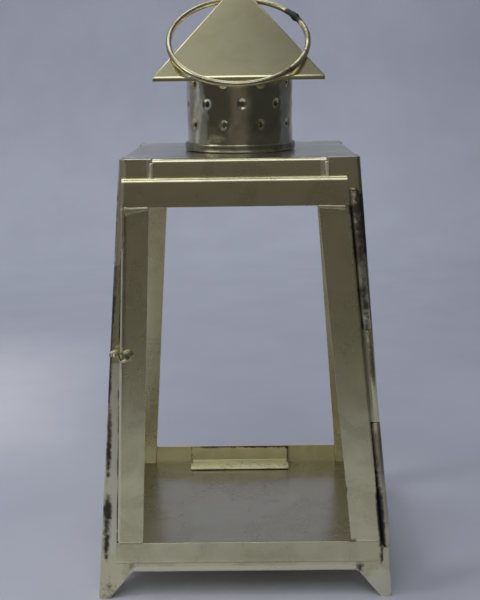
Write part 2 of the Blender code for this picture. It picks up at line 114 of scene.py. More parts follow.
print("lean", round(degrees(LEAN), 2), "degrees, axis at y", round(AXIS_Y, 4))

# %% [markdown]
# ## Colours and shader nodes
#
# Colours are written as they look on screen, and one function makes them linear for the renderer. A second
# adds a shader node with its settings and links, and returns the output that the next node needs. With it,
# a third lays colours over one another, each let in softly between two limits of a value, as paint is
# feathered at its edge.

# %% Helpers for materials
SMOOTH = {"interpolation_type": "SMOOTHSTEP"}


def colour(code):
    """Linear colour of an sRGB hex code."""
    parts = [int(code[i:i + 2], 16) / 255 for i in (1, 3, 5)]
    return (*[p / 12.92 if p <= 0.04045 else ((p + 0.055) / 1.055) ** 2.4 for p in parts], 1.0)


def add(tree, kind, inputs=None, output=0, **settings):
    """Add a node and return one of its outputs. Each input is a plain value or the output of another node."""
    made = tree.nodes.new("ShaderNode" + kind)
    for name, value in settings.items():
        setattr(made, name, value)
    for name, value in (inputs or {}).items():
        if isinstance(value, bpy.types.NodeSocket):
            tree.links.new(value, made.inputs[name])
        else:
            made.inputs[name].default_value = value
    return made.outputs[output]


def new_material(name):
    """A material, its node tree and its shader."""
    material = bpy.data.materials.new(name)
    material.use_nodes = True
    return material, material.node_tree, material.node_tree.nodes["Principled BSDF"]


def layered(tree, tone, layers):
    """Lay colours over a first one. Each has a strength, and limits (value, low, high) that let it in."""
    shares = []
    for layer, strength, limits in layers:
        share = strength
        for value, low, high in limits:
            inside = add(tree, "MapRange", {"Value": value, "From Min": low, "From Max": high}, **SMOOTH)
            share = add(tree, "Math", {0: share, 1: inside}, operation="MULTIPLY")
        tone = add(tree, "Mix", {"Factor": share, "A": tone, "B": layer}, "Result", data_type="RGBA")
        shares.append(share)
    return tone, shares


# %% [markdown]
# ## Pale brass
#
# The lantern is brass sheet that was polished, brushed along its length and lacquered. Clean brass mirrors
# its surroundings with a pale straw tint, so nearly all of its look is reflection. What tells the eye that
# it is hand-made is small: fine brushing, smears where the lacquer is thinner, dark specks, and burns where
# the torch met the joints. All patterns read the place on the lantern, so a size is the same on every
# piece. True brushing is 0.1 mm fine, and is drawn at 0.6 mm so that it shows. Where a joint was burnt or
# tinned is stored on each piece's vertices, and so is where shade or light is painted into the colour.

# %% Brass
BRASS, BRASS_WORN = "#E6E0B9", "#D2CCA6"
# The solder grey is also laid on as painted light, and the burn brown and black as painted shade
BURN_AND_SHADE_BROWN, BURN_AND_SHADE_BLACK, SOLDER_AND_LIGHT_GREY = "#5E574A", "#2A2D32", "#F2ECCF"
GRAIN, GRAIN_LENGTH = 0.6 * MM, 30 * MM
SMEAR = 22 * MM
SPECK = 2.2 * MM
BRUSH_DEPTH, CRUST_DEPTH = 0.012 * MM, 0.25 * MM
SOLDER_DULLS, BURN_DULLS = 0.10, 0.3


def brass(name, base=BRASS, worn=BRASS_WORN, roughness=0.26, along="Z", streak=0.03, smear=0.07,
          specks=0.10, dent=0.35, dent_length=34, brushing=0.35):
    """Brushed and lacquered brass with smears, specks, burns and a thin coat of solder at its joints, and
    painted shade and painted light laid on by the same marks.
    """
    material, tree, shader = new_material(name)
    place = add(tree, "TexCoord", output="Object")
    grain = [1 / (GRAIN_LENGTH if axis == along else GRAIN) for axis in "XYZ"]
    drawn_out = add(tree, "Mapping", {"Vector": place, "Scale": grain})
    streaks = add(tree, "TexNoise", {"Vector": drawn_out, "Scale": 1.0, "Detail": 3.0, "Roughness": 0.6})
    cloud = add(tree, "TexNoise", {"Vector": place, "Scale": 1 / SMEAR, "Detail": 4.0, "Roughness": 0.65,
                                   "Distortion": 0.8})
    grit = add(tree, "TexNoise", {"Vector": place, "Scale": 1 / SPECK, "Detail": 2.0})
    burn_and_shade = add(tree, "Attribute", output="Fac", attribute_name="burn_and_shade")
    tinned_and_lit = add(tree, "Attribute", output="Fac", attribute_name="tinned_and_lit")

    # Both noises make the edge of a burn or of painted shade ragged, and only where there is one
    near = add(tree, "MapRange", {"Value": burn_and_shade, "From Min": 0.0, "From Max": 0.3}, **SMOOTH)
    uneven = add(tree, "Math", {0: cloud, 1: 0.8, 2: -0.65}, operation="MULTIPLY_ADD")
    uneven = add(tree, "Math", {0: grit, 1: 0.5, 2: uneven}, operation="MULTIPLY_ADD")
    ragged = add(tree, "Math", {0: uneven, 1: near, 2: burn_and_shade}, operation="MULTIPLY_ADD")
    spotted = add(tree, "Math", {0: cloud, 1: 0.25, 2: grit}, operation="MULTIPLY_ADD")
    wiped = add(tree, "Math", {0: grit, 1: 0.3, 2: tinned_and_lit}, operation="MULTIPLY_ADD")
    # Tinned marks lay on the solder grey: solder at the joints, painted light on fold bands and reflections.
    # Burn marks lay on brown and black: burns at the joints, painted shade in gaps, on a foot and on the ring.
    tone, (_, silvered_and_lit, _, browned_and_shaded, blackened_and_shaded) = layered(tree, colour(base), (
        (colour(worn), 1.0, [(cloud, 0.35, 0.7)]),
        (colour(SOLDER_AND_LIGHT_GREY), 1.0, [(wiped, 0.45, 0.75)]),
        (colour(BURN_AND_SHADE_BROWN), specks, [(spotted, 0.80, 0.86)]),
        (colour(BURN_AND_SHADE_BROWN), 1.0, [(ragged, 0.15, 0.55)]),
        (colour(BURN_AND_SHADE_BLACK), 1.0, [(ragged, 0.45, 0.95)]),
    ))
    tree.links.new(tone, shader.inputs["Base Color"])

    # Streaks and smears vary the roughness about its mean, solder, soot and painted light and shade add to it,
    # and soot and painted shade are no metal
    rough = roughness - streak - smear
    rougher = (streaks, 2 * streak), (cloud, 2 * smear), (silvered_and_lit, SOLDER_DULLS), (browned_and_shaded, BURN_DULLS)
    for value, share in rougher:
        rough = add(tree, "Math", {0: value, 1: share, 2: rough}, operation="MULTIPLY_ADD")
    tree.links.new(rough, shader.inputs["Roughness"])
    metal = add(tree, "Math", {0: blackened_and_shaded, 1: -0.8, 2: 1.0}, operation="MULTIPLY_ADD")
    tree.links.new(metal, shader.inputs["Metallic"])

    soft = add(tree, "TexNoise", {"Vector": place, "Scale": 1 / (dent_length * MM), "Detail": 1.5})
    wave = add(tree, "Bump", {"Strength": 1.0, "Distance": dent * MM, "Height": soft})
    fine = add(tree, "Bump", {"Strength": 0.35, "Distance": BRUSH_DEPTH * brushing, "Height": streaks,
                              "Normal": wave})
    crust = add(tree, "Bump", {"Strength": 0.8, "Distance": CRUST_DEPTH, "Height": browned_and_shaded, "Normal": fine})
    tree.links.new(crust, shader.inputs["Normal"])
    return material


# %% Finishes
# Posts and rails are brushed along their length and lacquered, so they mirror the room softly
body_brass = brass("brushed pale brass, posts")
rail_brass = brass("brushed pale brass, rails", along="X")
side_brass = brass("brushed pale brass, side rails", along="Y")
# The door was rubbed down finer, so its faces look clean and even
door_brass = brass("brushed pale brass, door stiles", streak=0.012, specks=0.05, brushing=0.15)
strip_brass = brass("brushed pale brass, door strips", "#DFD9B3", "#CCC6A1", along="X", streak=0.012,
                    specks=0.05, brushing=0.15)
# Plate and roof were buffed after brushing, so their mirror image is clearer, in slow waves
plate_brass = brass("semi-polished brass plate", "#EAE7D8", "#DAD6C6", 0.24, "X", dent=0.5)
roof_brass = brass("semi-polished brass roof", "#EAE4B8", "#DAD3A6", 0.23, "X", streak=0.01, smear=0.05,
                   brushing=0.1)
# The floor is stiff and lies flat, so it is an even grey-brown with hardly a streak
floor_brass = brass("scratched brass floor", "#E0DAC4", "#D6CFB8", 0.27, "X", streak=0.005, smear=0.02,
                    specks=0.03, dent=0.12, brushing=0.06)
# The tube was polished before it was rolled, so it is bright, and its short dents break up what it mirrors
chimney_brass = brass("polished brass tube", "#E4E0C4", "#C9C09A", 0.19, smear=0.10, dent=0.7, dent_length=10)
# Drawn wire is smooth, with one thin bright line, and the yellower alloy of the latch looks golden
wire_brass = brass("polished brass wire", "#CCC4A0", "#A09878", 0.28, specks=0.2)
hook_brass = brass("yellow brass latch wire", "#E8DFB0", "#C0B686", 0.3, specks=0.2)
# Solder that was wiped over the bead left pale and dark patches
bead_brass = brass("brass bead wiped with solder", "#BDB99F", "#7F7B66", 0.3, dent=0.3, dent_length=9)
# What was never polished is matt; the clip and the inside of the rear rail also get a paler colour, painted
# light, as they stand in the lantern's shade
clip_brass_painted_light = brass("yellow brass clip", "#F3EDC8", "#E4DDB6", 0.44, "X")
satin_brass_painted_light = brass("satin brass, inside of the rear rail", "#F0E8C2", "#DFD7AE", 0.45, "X")
# Heat and brushed solder both leave the surface dull, the one darker and the other paler
burnt_brass = brass("brass heated by the torch", "#DDD5BC", "#B4AC94", 0.42, specks=0.3)
solder = brass("soft solder brushed over", "#E2DABA", "#BDB492", 0.42)
print(len(bpy.data.materials), "materials")

# %% [markdown]
# ## The studio
#
# A metal object shows its room. This one stands on a pale blue-grey sweep that rises behind it. Towards the
# camera the sweep ends and the room is dim, so the upper door looks dark olive, and the lower door, which
# mirrors the floor, looks pale. The sweep is a half bowl, so it also stands behind the lantern when the
# camera goes round to a side.

# %% Sweep
FLOOR_RADIUS = 0.95
FRONT_RADIUS = 0.63
WALL_CURVE = 0.30
WALL_HEIGHT = 1.3


def linked(name, data):
    """New object in the scene, at the origin."""
    made = bpy.data.objects.new(name, data)
    bpy.context.scene.collection.objects.link(made)
    return made


def new_object(name, mesh, material):
    """Turn a bmesh into an object at the origin."""
    data = bpy.data.meshes.new(name)
    mesh.to_mesh(data)
    mesh.free()
    data.materials.append(material)
    data.shade_smooth()
    return linked(name, data)


def sweep_paint():
    """Matt blue-grey paper with painted light and shade in its colour: a band of painted light where it starts
    to rise, and a pool of painted light under the lantern.
    """
    material, tree, shader = new_material("matt blue-grey paper")
    shader.inputs["Roughness"].default_value = 0.9
    shader.inputs["Specular IOR Level"].default_value = 0.1
    place = add(tree, "TexCoord", output="Object")
    x, y, z = add(tree, "SeparateXYZ", {"Vector": place}).node.outputs
    fibre = add(tree, "TexNoise", {"Vector": place, "Scale": 12.0, "Detail": 5.0})
    # All layers but the fibre are painted light and shade: darker towards the back of the floor, paler up the
    # wall, darker to the right and to the far left, darker high on the wall, a band of light on the left behind
    # the lantern, and a pool of light under the lantern's front that lifts its shadow
    tone, _ = layered(tree, colour("#DADCE4"), (
        (colour("#CDD0DC"), 1.0, [(y, -0.30, 0.30)]),
        (colour("#E6E9F3"), 1.0, [(y, 0.35, 1.2)]),
        (colour("#7C8089"), 1.0, [(x, 0.1, 1.1)]),
        (colour("#A6A9B3"), 1.0, [(x, -0.6, -1.2)]),
        (colour("#B4B6BE"), 1.0, [(z, 0.34, 0.75)]),
        (colour("#FAFBFE"), 1.0, [(y, 0.04, 0.2), (y, 0.62, 0.28), (x, -0.06, -0.26)]),
        (colour("#F3F4FD"), 1.0, [(y, -0.16, -0.10), (y, -0.02, -0.06), (x, -0.085, -0.06), (x, 0.085, 0.06)]),
        (colour("#9A9EAE"), 0.10, [(fibre, 0.3, 0.7)]),
    ))
    tree.links.new(tone, shader.inputs["Base Color"])
    return material


def sweep_mesh():
    mesh = bmesh.new()
    flat = [(0, 0, 0), (FLOOR_RADIUS, 0, 0)]
    front = [(0, 0, 0), (FRONT_RADIUS, 0, 0)]
    curve = [(FLOOR_RADIUS + WALL_CURVE * sin(a), 0, WALL_CURVE * (1 - cos(a)))
             for a in [radians(90 * step / 12) for step in range(1, 13)]]
    rise = [(FLOOR_RADIUS + WALL_CURVE, 0, WALL_HEIGHT)]
    for profile, first, sweep_angle in ((front, 195, 172), (flat + curve + rise, 7, 188)):
        points = [mesh.verts.new(p) for p in profile]
        lines = [mesh.edges.new(pair) for pair in zip(points, points[1:])]
        turn = Matrix.Rotation(radians(first), 3, "Z")
        bmesh.ops.rotate(mesh, verts=points, cent=(0, 0, 0), matrix=turn)
        bmesh.ops.spin(mesh, geom=points + lines, cent=(0, 0, 0), axis=(0, 0, 1),
                       angle=radians(sweep_angle), steps=72)
    bmesh.ops.remove_doubles(mesh, verts=mesh.verts, dist=1e-5)
    mesh.normal_update()
    above = Vector((0, 0, WALL_HEIGHT))
    outward = [f for f in mesh.faces if f.normal.dot(above - f.calc_center_median()) < 0]
    bmesh.ops.reverse_faces(mesh, faces=outward)
    return mesh


sweep = new_object("paper_sweep", sweep_mesh(), sweep_paint())
sweep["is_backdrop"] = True
print("sweep faces", len(sweep.data.polygons))

# %% [markdown]
# ## Lamps and room
#
# A large soft lamp in front to the left draws the bright lines along all the folds. Each lamp is set by the
# radiance that a mirror shows of it, and its power follows from its size. The room is a coloured world: dim
# at eye level, darker on both sides, which draws the dark edges of the folds, and brighter overhead.

# %% Lamps and room


def soft_lamp(name, place, aim, size, radiance, tint="#FFFFFF"):
    """Square area lamp of an even brightness, whatever its size."""
    data = bpy.data.lights.new(name, "AREA")
    data.shape = "SQUARE"
    data.size = size
    data.energy = radiance * pi * size ** 2
    data.color = colour(tint)[:3]
    lamp = linked(name, data)
    lamp.location = place
    lamp.rotation_mode = "QUATERNION"
    lamp.rotation_quaternion = (Vector(aim) - Vector(place)).to_track_quat("-Z", "Y")
    return lamp


def dim_room():
    """Dim at eye level, brighter towards the ceiling."""
    world = bpy.data.worlds.new("dim room")
    bpy.context.scene.world = world
    world.use_nodes = True
    tree = world.node_tree
    shader = tree.nodes["Background"]
    x, y, z = add(tree, "SeparateXYZ", {"Vector": add(tree, "TexCoord", output="Generated")}).node.outputs
    ceiling, _ = layered(tree, colour("#8A8C90"), [(colour("#66676A"), 1.0, [(x, -0.08, 0.25)])])
    tone, _ = layered(tree, colour("#595551"), (
        (colour("#3C3B39"), 1.0, [(x, -0.15, -0.55)]),
        (colour("#353638"), 1.0, [(x, 0.08, 0.5)]),
        (ceiling, 1.0, [(z, 0.12, 0.8)]),
    ))
    tree.links.new(tone, shader.inputs["Color"])
    shader.inputs["Strength"].default_value = 1.0


soft_lamp("front lamp", (-0.12, -0.88, 1.35), (0, 0, 0.2), 0.9, 1.45, "#F1F6FF")
soft_lamp("left lamp", (-1.2, -0.4, 1.2), (0, 0.05, 0.1), 0.6, 5.0, "#F6F8FF")
soft_lamp("overhead lamp", (-0.25, 0.58, 1.5), (0, 0, 0.1), 1.0, 1.45, "#F6F8FF")
dim_room()

# %% [markdown]
# ## The camera
#
# The photograph looks slightly down from about 60 cm. Its place, turn and lens were found by laying the CAD
# edges over the picture, so they are written as numbers: where it stands, how far it looks down and aside,
# and a small tilt of the picture itself.

# %% Camera
CAMERA_PLACE = (0.0054, -0.5946, 0.2806)
PITCH, ROLL, YAW = 0.2183, -0.0147, -0.0114
FOCAL_PIXELS = 1038.7
PICTURE_HEIGHT = 600
SENSOR = 36


def photo_camera():
    data = bpy.data.cameras.new("camera")
    data.sensor_width = SENSOR
    data.lens = FOCAL_PIXELS / PICTURE_HEIGHT * SENSOR
    camera = linked("camera", data)
    ahead = Vector((sin(YAW) * cos(PITCH), cos(YAW) * cos(PITCH), -sin(PITCH)))
    level = Vector((cos(YAW), -sin(YAW), 0))
    above = level.cross(ahead)
    right = level * cos(ROLL) + above * sin(ROLL)
    top = above * cos(ROLL) - level * sin(ROLL)
    turn = Matrix((right, top, -ahead)).transposed().to_4x4()
    camera.matrix_world = Matrix.Translation(CAMERA_PLACE) @ turn
    return camera


scene = bpy.context.scene
scene.camera = photo_camera()
scene.view_settings.view_transform = "Standard"
print("lens", round(scene.camera.data.lens, 2))

# %% [markdown]
# ## Folding a strip
#
# Every post, rail and door strip is one piece of sheet with a single fold. It could be a box with a thin
# wall, but a real fold has a radius, and that is where the light gathers. So a strip starts as two or three
# rows of points, bridged into a bare surface. Its fold is bevelled to the bending radius, it is bent out of
# true by a tenth of a millimetre, as hand-bent sheet is, and only then gets its thickness and soft edges.

# %% Sheet tools
FOLD_SEGMENTS = 7
CUT_EDGE = 0.22 * MM
SPOTS = []


def along_axis(mesh, axis):
    """Edges that run mostly along an axis."""
    return [e for e in mesh.edges if abs((e.verts[1].co - e.verts[0].co).normalized().dot(Vector(axis))) > 0.7]


def bridged(mesh, rows, closed=False):
    """Skin rows of points one to the next, and return the edges of each row."""
    lines = []
    for row in rows:
        points = [mesh.verts.new(p) for p in row]
        ends = points[1:] + points[:1] if closed else points[1:]
        lines.append([mesh.edges.new(pair) for pair in zip(points, ends)])
    for before, after in zip(lines, lines[1:]):
        bmesh.ops.bridge_loops(mesh, edges=before + after)
    return lines


def face_away(mesh, inside):
    """Point all faces of a surface away from a place inside it."""
    bmesh.ops.recalc_face_normals(mesh, faces=mesh.faces)
    if sum((f.calc_center_median() - Vector(inside)).dot(f.normal) * f.calc_area() for f in mesh.faces) < 0:
        bmesh.ops.reverse_faces(mesh, faces=mesh.faces)
    mesh.normal_update()


def sharp_edges(mesh):
    return [e for e in mesh.edges if len(e.link_faces) == 2 and e.calc_face_angle() > 0.5]


def strip(rows, axis, lengthwise, across, fold=FOLD):
    """Bare folded surface through rows of points, its outer side turned away from the lantern's middle."""
    mesh = bmesh.new()
    bridged(mesh, rows)
    face_away(mesh, (0, 0, BODY_HEIGHT / 2))
    folds = sharp_edges(mesh)
    if folds:
        turn = folds[0].calc_face_angle()
        bmesh.ops.bevel(mesh, geom=folds, offset=fold * tan(turn / 2), offset_type="OFFSET",
                        segments=FOLD_SEGMENTS, profile=0.5, affect="EDGES", material=-1)
    long_edges = set(along_axis(mesh, axis))
    flats = [e for e in mesh.edges if e not in long_edges and e.calc_length() > fold]
    bmesh.ops.subdivide_edges(mesh, edges=flats, cuts=across, use_grid_fill=True)
    bmesh.ops.subdivide_edges(mesh, edges=along_axis(mesh, axis), cuts=lengthwise, use_grid_fill=True)
    return mesh


def out_of_true(mesh, amount=0.12 * MM, length=48 * MM, seed=0.0):
    """Bend a surface inwards by a soft random amount, as hand-bent sheet is."""
    mesh.normal_update()
    moves = []
    for vertex in mesh.verts:
        at = vertex.co / length + Vector((seed, seed * 0.7, seed * 1.3))
        share = 0.5 + 0.5 * noise.noise(at) + 0.12 * noise.noise(at * 3.7)
        moves.append(-vertex.normal * amount * share)
    for vertex, move in zip(mesh.verts, moves):
        vertex.co += move


def spot(kind, centre, size, strength=1.0, end=None):
    """Name a place in millimetres where the torch or the solder left its mark, or where shade or light is
    painted; with an end, a line.
    """
    SPOTS.append((kind, Vector(centre) * MM, Vector(end or centre) * MM, Vector(size) * MM, strength))


def paint_spots(piece):
    """Store how burnt or painted in shade, and how tinned or painted in light, each vertex is."""
    for kind in ("burn_and_shade", "tinned_and_lit"):
        values = []
        for vertex in piece.data.vertices:
            most = 0.0
            for spot_kind, first, last, size, strength in SPOTS:
                if spot_kind == kind:
                    line = last - first
                    share = (vertex.co - first).dot(line) / line.length_squared if line.length else 0.0
                    gap = vertex.co - first - line * min(1.0, max(0.0, share))
                    reach = sqrt(sum((g / s) ** 2 for g, s in zip(gap, size)))
                    most = max(most, strength * max(0.0, 1.0 - reach * 0.5) if reach < 2 else 0.0)
            values.append(most)
        layer = piece.data.attributes.new(kind, "FLOAT", "POINT")
        layer.data.foreach_set("value", values)


def thicken(piece):
    """Give a bare surface the thickness of the sheet, inwards."""
    wall = piece.modifiers.new("Sheet", "SOLIDIFY")
    wall.thickness = SHEET
    wall.offset = -1
    wall.use_even_offset = True


def piece_of(name, mesh, material, body, node=None, sheet=False, rounding=0):
    """Finish a bmesh as a piece that rides on a body, and stands for a CAD node if one is named."""
    piece = new_object(name, mesh, material)
    if sheet:
        thicken(piece)
    if rounding:
        edge = piece.modifiers.new("Cut edges", "BEVEL")
        edge.width = rounding
        edge.segments = 2
        edge.limit_method = "ANGLE"
        edge.angle_limit = radians(50)
        edge.harden_normals = True
    paint_spots(piece)
    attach(piece, body)
    if node:
        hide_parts(node)
    print(name, "on", body, "with", len(piece.data.polygons), "faces")
    return piece


def moved(rows, matrix):
    return [[matrix @ Vector(p) for p in row] for row in rows]


# %% [markdown]
# ## Solder
#
# Soft solder runs along a joint as a low ridge with a slightly wavy width, and is wiped smooth while it is
# still hot. It is what hides the seams of the real lantern. Each run here is a thin lens-shaped section,
# repeated along its joint and bridged.

# %% Solder tool
RUN_STEPS = 26
RUN_SHAPE = (-1, -0.7, -0.35, 0, 0.35, 0.7, 1)
RUN_ROOT = 0.14 * MM


def lofted(mesh, sections):
    """Add a closed body through closed outlines, capped at both ends."""
    loops = bridged(mesh, sections, closed=True)
    for end in (loops[0], loops[-1]):
        bmesh.ops.edgenet_fill(mesh, edges=end)
    bmesh.ops.recalc_face_normals(mesh, faces=mesh.faces)


def solder_run(mesh, start, end, out, width=2.8 * MM, height=0.26 * MM, taper=1.0):
    """Add a ridge of solder along a joint; taper is its last width over its first."""
    across = (end - start).normalized().cross(out)
    sections = []
    for step in range(RUN_STEPS + 1):
        share = step / RUN_STEPS
        middle = start.lerp(end, share)
        swell = 1 + 0.4 * noise.noise(middle / (4 * MM))
        half = width / 2 * swell * (1 + (taper - 1) * share) * (0.5 if step in (0, RUN_STEPS) else 1)
        outline = [middle + across * half * t + out * ((height + RUN_ROOT) * (1 - t * t) - RUN_ROOT)
                   for t in RUN_SHAPE]
        outline += [middle + across * half * t - out * 2 * RUN_ROOT for t in (0.8, -0.8)]
        sections.append(outline)
    lofted(mesh, sections)


# %% [markdown]
# ## Marks of the torch, painted shade and painted light
#
# Beside its joints the real lantern is sooty, brown or wiped pale with solder. Other marks are painted
# shade, dark lines in gaps, and painted light, pale bands where the metal mirrors something bright. None
# has thickness to model, so each mark is a soft blob or line, in millimetres: its middle, its reach along
# X, Y and Z, its strength, and its other end if it is a line. Every piece later stores on its vertices how
# much of each it gets, and the brass above turns that into colour and dullness.

# %% Marks that the torch and the solder left, and painted shade and light
# Left post: soot along its corner, a dark line beside the door that is painted shade of the gap, pale bands
# below the latch that are painted reflection, and solder wiped near its top
spot("burn_and_shade", (-70.8, -70, 103), (1.3, 9, 5), 0.56, (-72.4, -71, 71))
spot("burn_and_shade", (-73.5, -73, 55), (2.1, 9, 5), 0.6, (-74.6, -75, 38))
spot("burn_and_shade", (-74.4, -75, 40), (1.2, 9, 4), 0.6, (-75.0, -76, 24))
spot("burn_and_shade", (-66.9, -66, 165), (1.1, 9, 6), 0.7, (-71.0, -68, 112))
spot("burn_and_shade", (-63.2, -60, 222), (0.8, 9, 6), 0.6, (-67.2, -66, 170))
# The next three lines are painted shade, the dark gap beside the door
spot("burn_and_shade", (-61.7, -62, 186), (0.45, 4, 3), 0.95, (-64.0, -66, 143))
spot("burn_and_shade", (-65.6, -69, 112), (0.35, 4, 4), 0.8, (-66.4, -71, 83))
spot("burn_and_shade", (-66.4, -71, 83), (0.42, 4, 4), 0.95, (-68.6, -75, 31))
spot("burn_and_shade", (-66.0, -68.5, 125), (0.6, 6, 0.7), 0.6)
# The next three pale bands, on the post below the latch and along the door's edge, are painted reflection
spot("tinned_and_lit", (-68.2, -69, 120), (1.5, 6, 6), 1.6, (-71.4, -75, 34))
spot("tinned_and_lit", (-66.7, -68.5, 124.5), (2.7, 6, 4.2), 1.5)
spot("tinned_and_lit", (-64.0, -69, 126), (1.0, 6, 4), 1.4, (-67.6, -75.5, 36))
spot("tinned_and_lit", (-62.0, -62, 226), (1.6, 6, 6), 1.6, (-64.0, -62, 190))
spot("tinned_and_lit", (-60.0, -63, 233), (1.3, 6, 3), 1.5, (-60.9, -65, 216))
# Latch: its eye has darkened, and its arch is paler
spot("burn_and_shade", (-58.9, -75, 136), (2.6, 4, 3.0), 0.5)
spot("tinned_and_lit", (-67.6, -75, 136), (1.8, 4, 2.0), 1.4)
# Top rail's seams and the upper corners of the door
spot("tinned_and_lit", (-46.0, -60, 237), (1.1, 4, 3), 1.6, (-46.0, -60, 229))
spot("tinned_and_lit", (43.8, -60, 237), (1.5, 4, 3), 1.6, (43.8, -60, 229))
spot("tinned_and_lit", (-60.0, -62, 211.6), (4, 4, 1.3), 1.5, (-48.0, -62, 212.4))
spot("tinned_and_lit", (46.0, -62, 209.6), (3, 4, 0.9), 1.4, (56.0, -62, 209.0))
# Clip: its lip is dull and a little darker, and the dark lines along its leg's ends and top edge are painted
# shade of the slot and the gaps round it
spot("burn_and_shade", (-4, 68, 17.8), (60, 7, 1.6), 0.32)
spot("burn_and_shade", (-37, 74, 28), (0.7, 4, 2), 0.8, (-37, 74, 20))
spot("burn_and_shade", (29, 74, 28), (0.7, 4, 2), 0.8, (29, 74, 20))
spot("burn_and_shade", (-37, 74, 29.6), (2, 4, 0.6), 0.7, (29, 74, 29.6))
# Painted highlight along the lower fold of the front rail, painted shade on the left foot and painted light on
# the right foot
spot("tinned_and_lit", (-58, -77, 15.4), (4, 4, 2.0), 1.3, (56, -77, 15.4))
spot("burn_and_shade", (-74.0, -78, 8), (9, 6, 11), 0.40)
spot("burn_and_shade", (-71.0, -78, 4.5), (1.4, 6, 2.6), 0.42)
spot("tinned_and_lit", (74.0, -78, 8), (6, 6, 7), 1.2)
# Right post and the barrel's solder
spot("burn_and_shade", (60.4, -66, 211), (3.4, 9, 8), 1.15, (62.4, -68, 191))
spot("burn_and_shade", (64.9, -69, 158), (1.5, 9, 3), 0.45, (65.2, -69, 149))
spot("burn_and_shade", (69.4, -75, 90), (0.9, 9, 6), 0.7, (70.6, -75, 68))
spot("burn_and_shade", (73.6, -75, 92), (0.7, 9, 2.5), 0.5, (74.4, -75, 84))
spot("burn_and_shade", (75.2, -75, 72), (0.7, 9, 3), 0.45)
spot("burn_and_shade", (72.2, -76, 60), (1.6, 9, 5), 1.2, (74.0, -77, 34))
spot("burn_and_shade", (73.8, -78, 26), (0.7, 9, 6), 0.85)
spot("burn_and_shade", (62.6, -76, 16.8), (2.6, 9, 2.0), 0.55)
spot("burn_and_shade", (53.4, -79, 61.4), (1.0, 3, 3.4), 0.7)
spot("burn_and_shade", (57.6, -81, 34.6), (3.0, 3, 1.2), 0.55)
print(len(SPOTS), "marks")

# %% [markdown]
# ## Corner posts
#
# Each post is an L folded from one strip, 17 mm on each leg, and below the bottom rails both legs are cut to
# a point to make a foot. Three rows of points are enough: the tip, the shoulder of the foot, and the top.

# %% Posts
SIDES = ("front", "right", "rear", "left")


def side_turn(side):
    """Turn about the body's axis from the front to another side."""
    return BODY @ Matrix.Rotation(radians(90 * side), 4, "Z")


for side, corner in enumerate(("front_right", "rear_right", "rear_left", "front_left")):
    rows = []
    for height, flange in ((0, FOOT_TIP), (FOOT_HEIGHT, POST_FLANGE), (BODY_HEIGHT, POST_FLANGE)):
        half = half_width(height)
        rows.append([(half, -half + flange, height), (half, -half, height), (half - flange, -half, height)])
    mesh = strip(moved(rows, side_turn(side)), (0, 0, 1), 72, 16)
    out_of_true(mesh, seed=side * 3.1)
    piece_of(corner + "_post", mesh, body_brass, "body", "corner_post_" + corner, True, CUT_EDGE)

# %% [markdown]
# ## Rails
#
# The rails close the frame between the posts. Their ends are cut to the posts' slant. The top rails fold in
# level with the top plate, and the bottom rails fold in under the floor. The upper faces of the top rails
# were buffed together with the plate, so they take its finish.

# %% Rails
top_low = BODY_HEIGHT - RAIL_HEIGHT
bottom_high = FOOT_HEIGHT + RAIL_HEIGHT
paths = {
    "top": [(-half_width(top_low), top_low), (-PLATE_HALF, BODY_HEIGHT),
            (-PLATE_HALF + RAIL_RETURN, BODY_HEIGHT)],
    "bottom": [(-half_width(FOOT_HEIGHT) + RAIL_RETURN, FOOT_HEIGHT), (-half_width(FOOT_HEIGHT), FOOT_HEIGHT),
               (-half_width(bottom_high), bottom_high)],
}
for side, name in enumerate(SIDES):
    for level, path in paths.items():
        rows = []
        for sign in (-1, 1):
            rows.append([(sign * (half_width(z) - POST_FLANGE - SEAM), y, z) for y, z in path])
        axis = (1, 0, 0) if side % 2 == 0 else (0, 1, 0)
        mesh = strip(moved(rows, side_turn(side)), axis, 40, 3)
        out_of_true(mesh, seed=7 + side * 2.3)
        finish = rail_brass if side % 2 == 0 else side_brass
        # The inside of the rear bottom rail takes the satin brass, whose paler colour is painted light
        if (name, level) == ("rear", "bottom"):
            finish = satin_brass_painted_light
        rail = piece_of(f"{name}_{level}_rail", mesh, finish, "body", f"{level}_rail_{name}",
                        True, CUT_EDGE)
        if level == "top":
            rail.data.materials.append(plate_brass)
            for face in rail.data.polygons:
                face.material_index = int(face.normal.z > 0.98)

# %% Solder of the frame
mesh = bmesh.new()
for side in range(4):
    plane = side_turn(side) @ BODY.inverted() @ FRONT
    out = plane.to_3x3() @ Vector((0, 0, 1))
    for low, high in ((FOOT_HEIGHT + SEAM, bottom_high), (top_low, BODY_HEIGHT - FOLD)):
        for sign in (-1, 1):
            joint = [plane @ Vector((sign * (half_width(z) - POST_FLANGE - SEAM / 2), up_slope(z), 0))
                     for z in (low, high)]
            solder_run(mesh, *joint, out)
piece_of("frame_solder", mesh, solder, "body")

# %% [markdown]
# ## Floor, top plate and pane clip
#
# The top plate lies level with the rails' inward legs, so it has a notch for each of them besides its round
# vent, all punched out by boolean cutters. Flat sheet is never quite flat: it is a little oil-canned, and
# mirrors in soft waves, so the plates are grids that sag by fractions of a millimetre. The clip is one more
# folded strip, on the floor at the back, and holds the foot of a pane.

# %% Plates
VENT_RADIUS = 27 * MM
CHIMNEY_RADIUS = 30 * MM


def at_height(height):
    """Frame on the body's axis at a height above the ground."""
    return BODY @ Matrix.Translation((0, 0, height))


def plate(half, height, cuts, seed):
    mesh = bmesh.new()
    bmesh.ops.create_grid(mesh, x_segments=cuts, y_segments=cuts, size=half, matrix=at_height(height))
    out_of_true(mesh, amount=0.25 * MM, length=60 * MM, seed=seed)
    return mesh


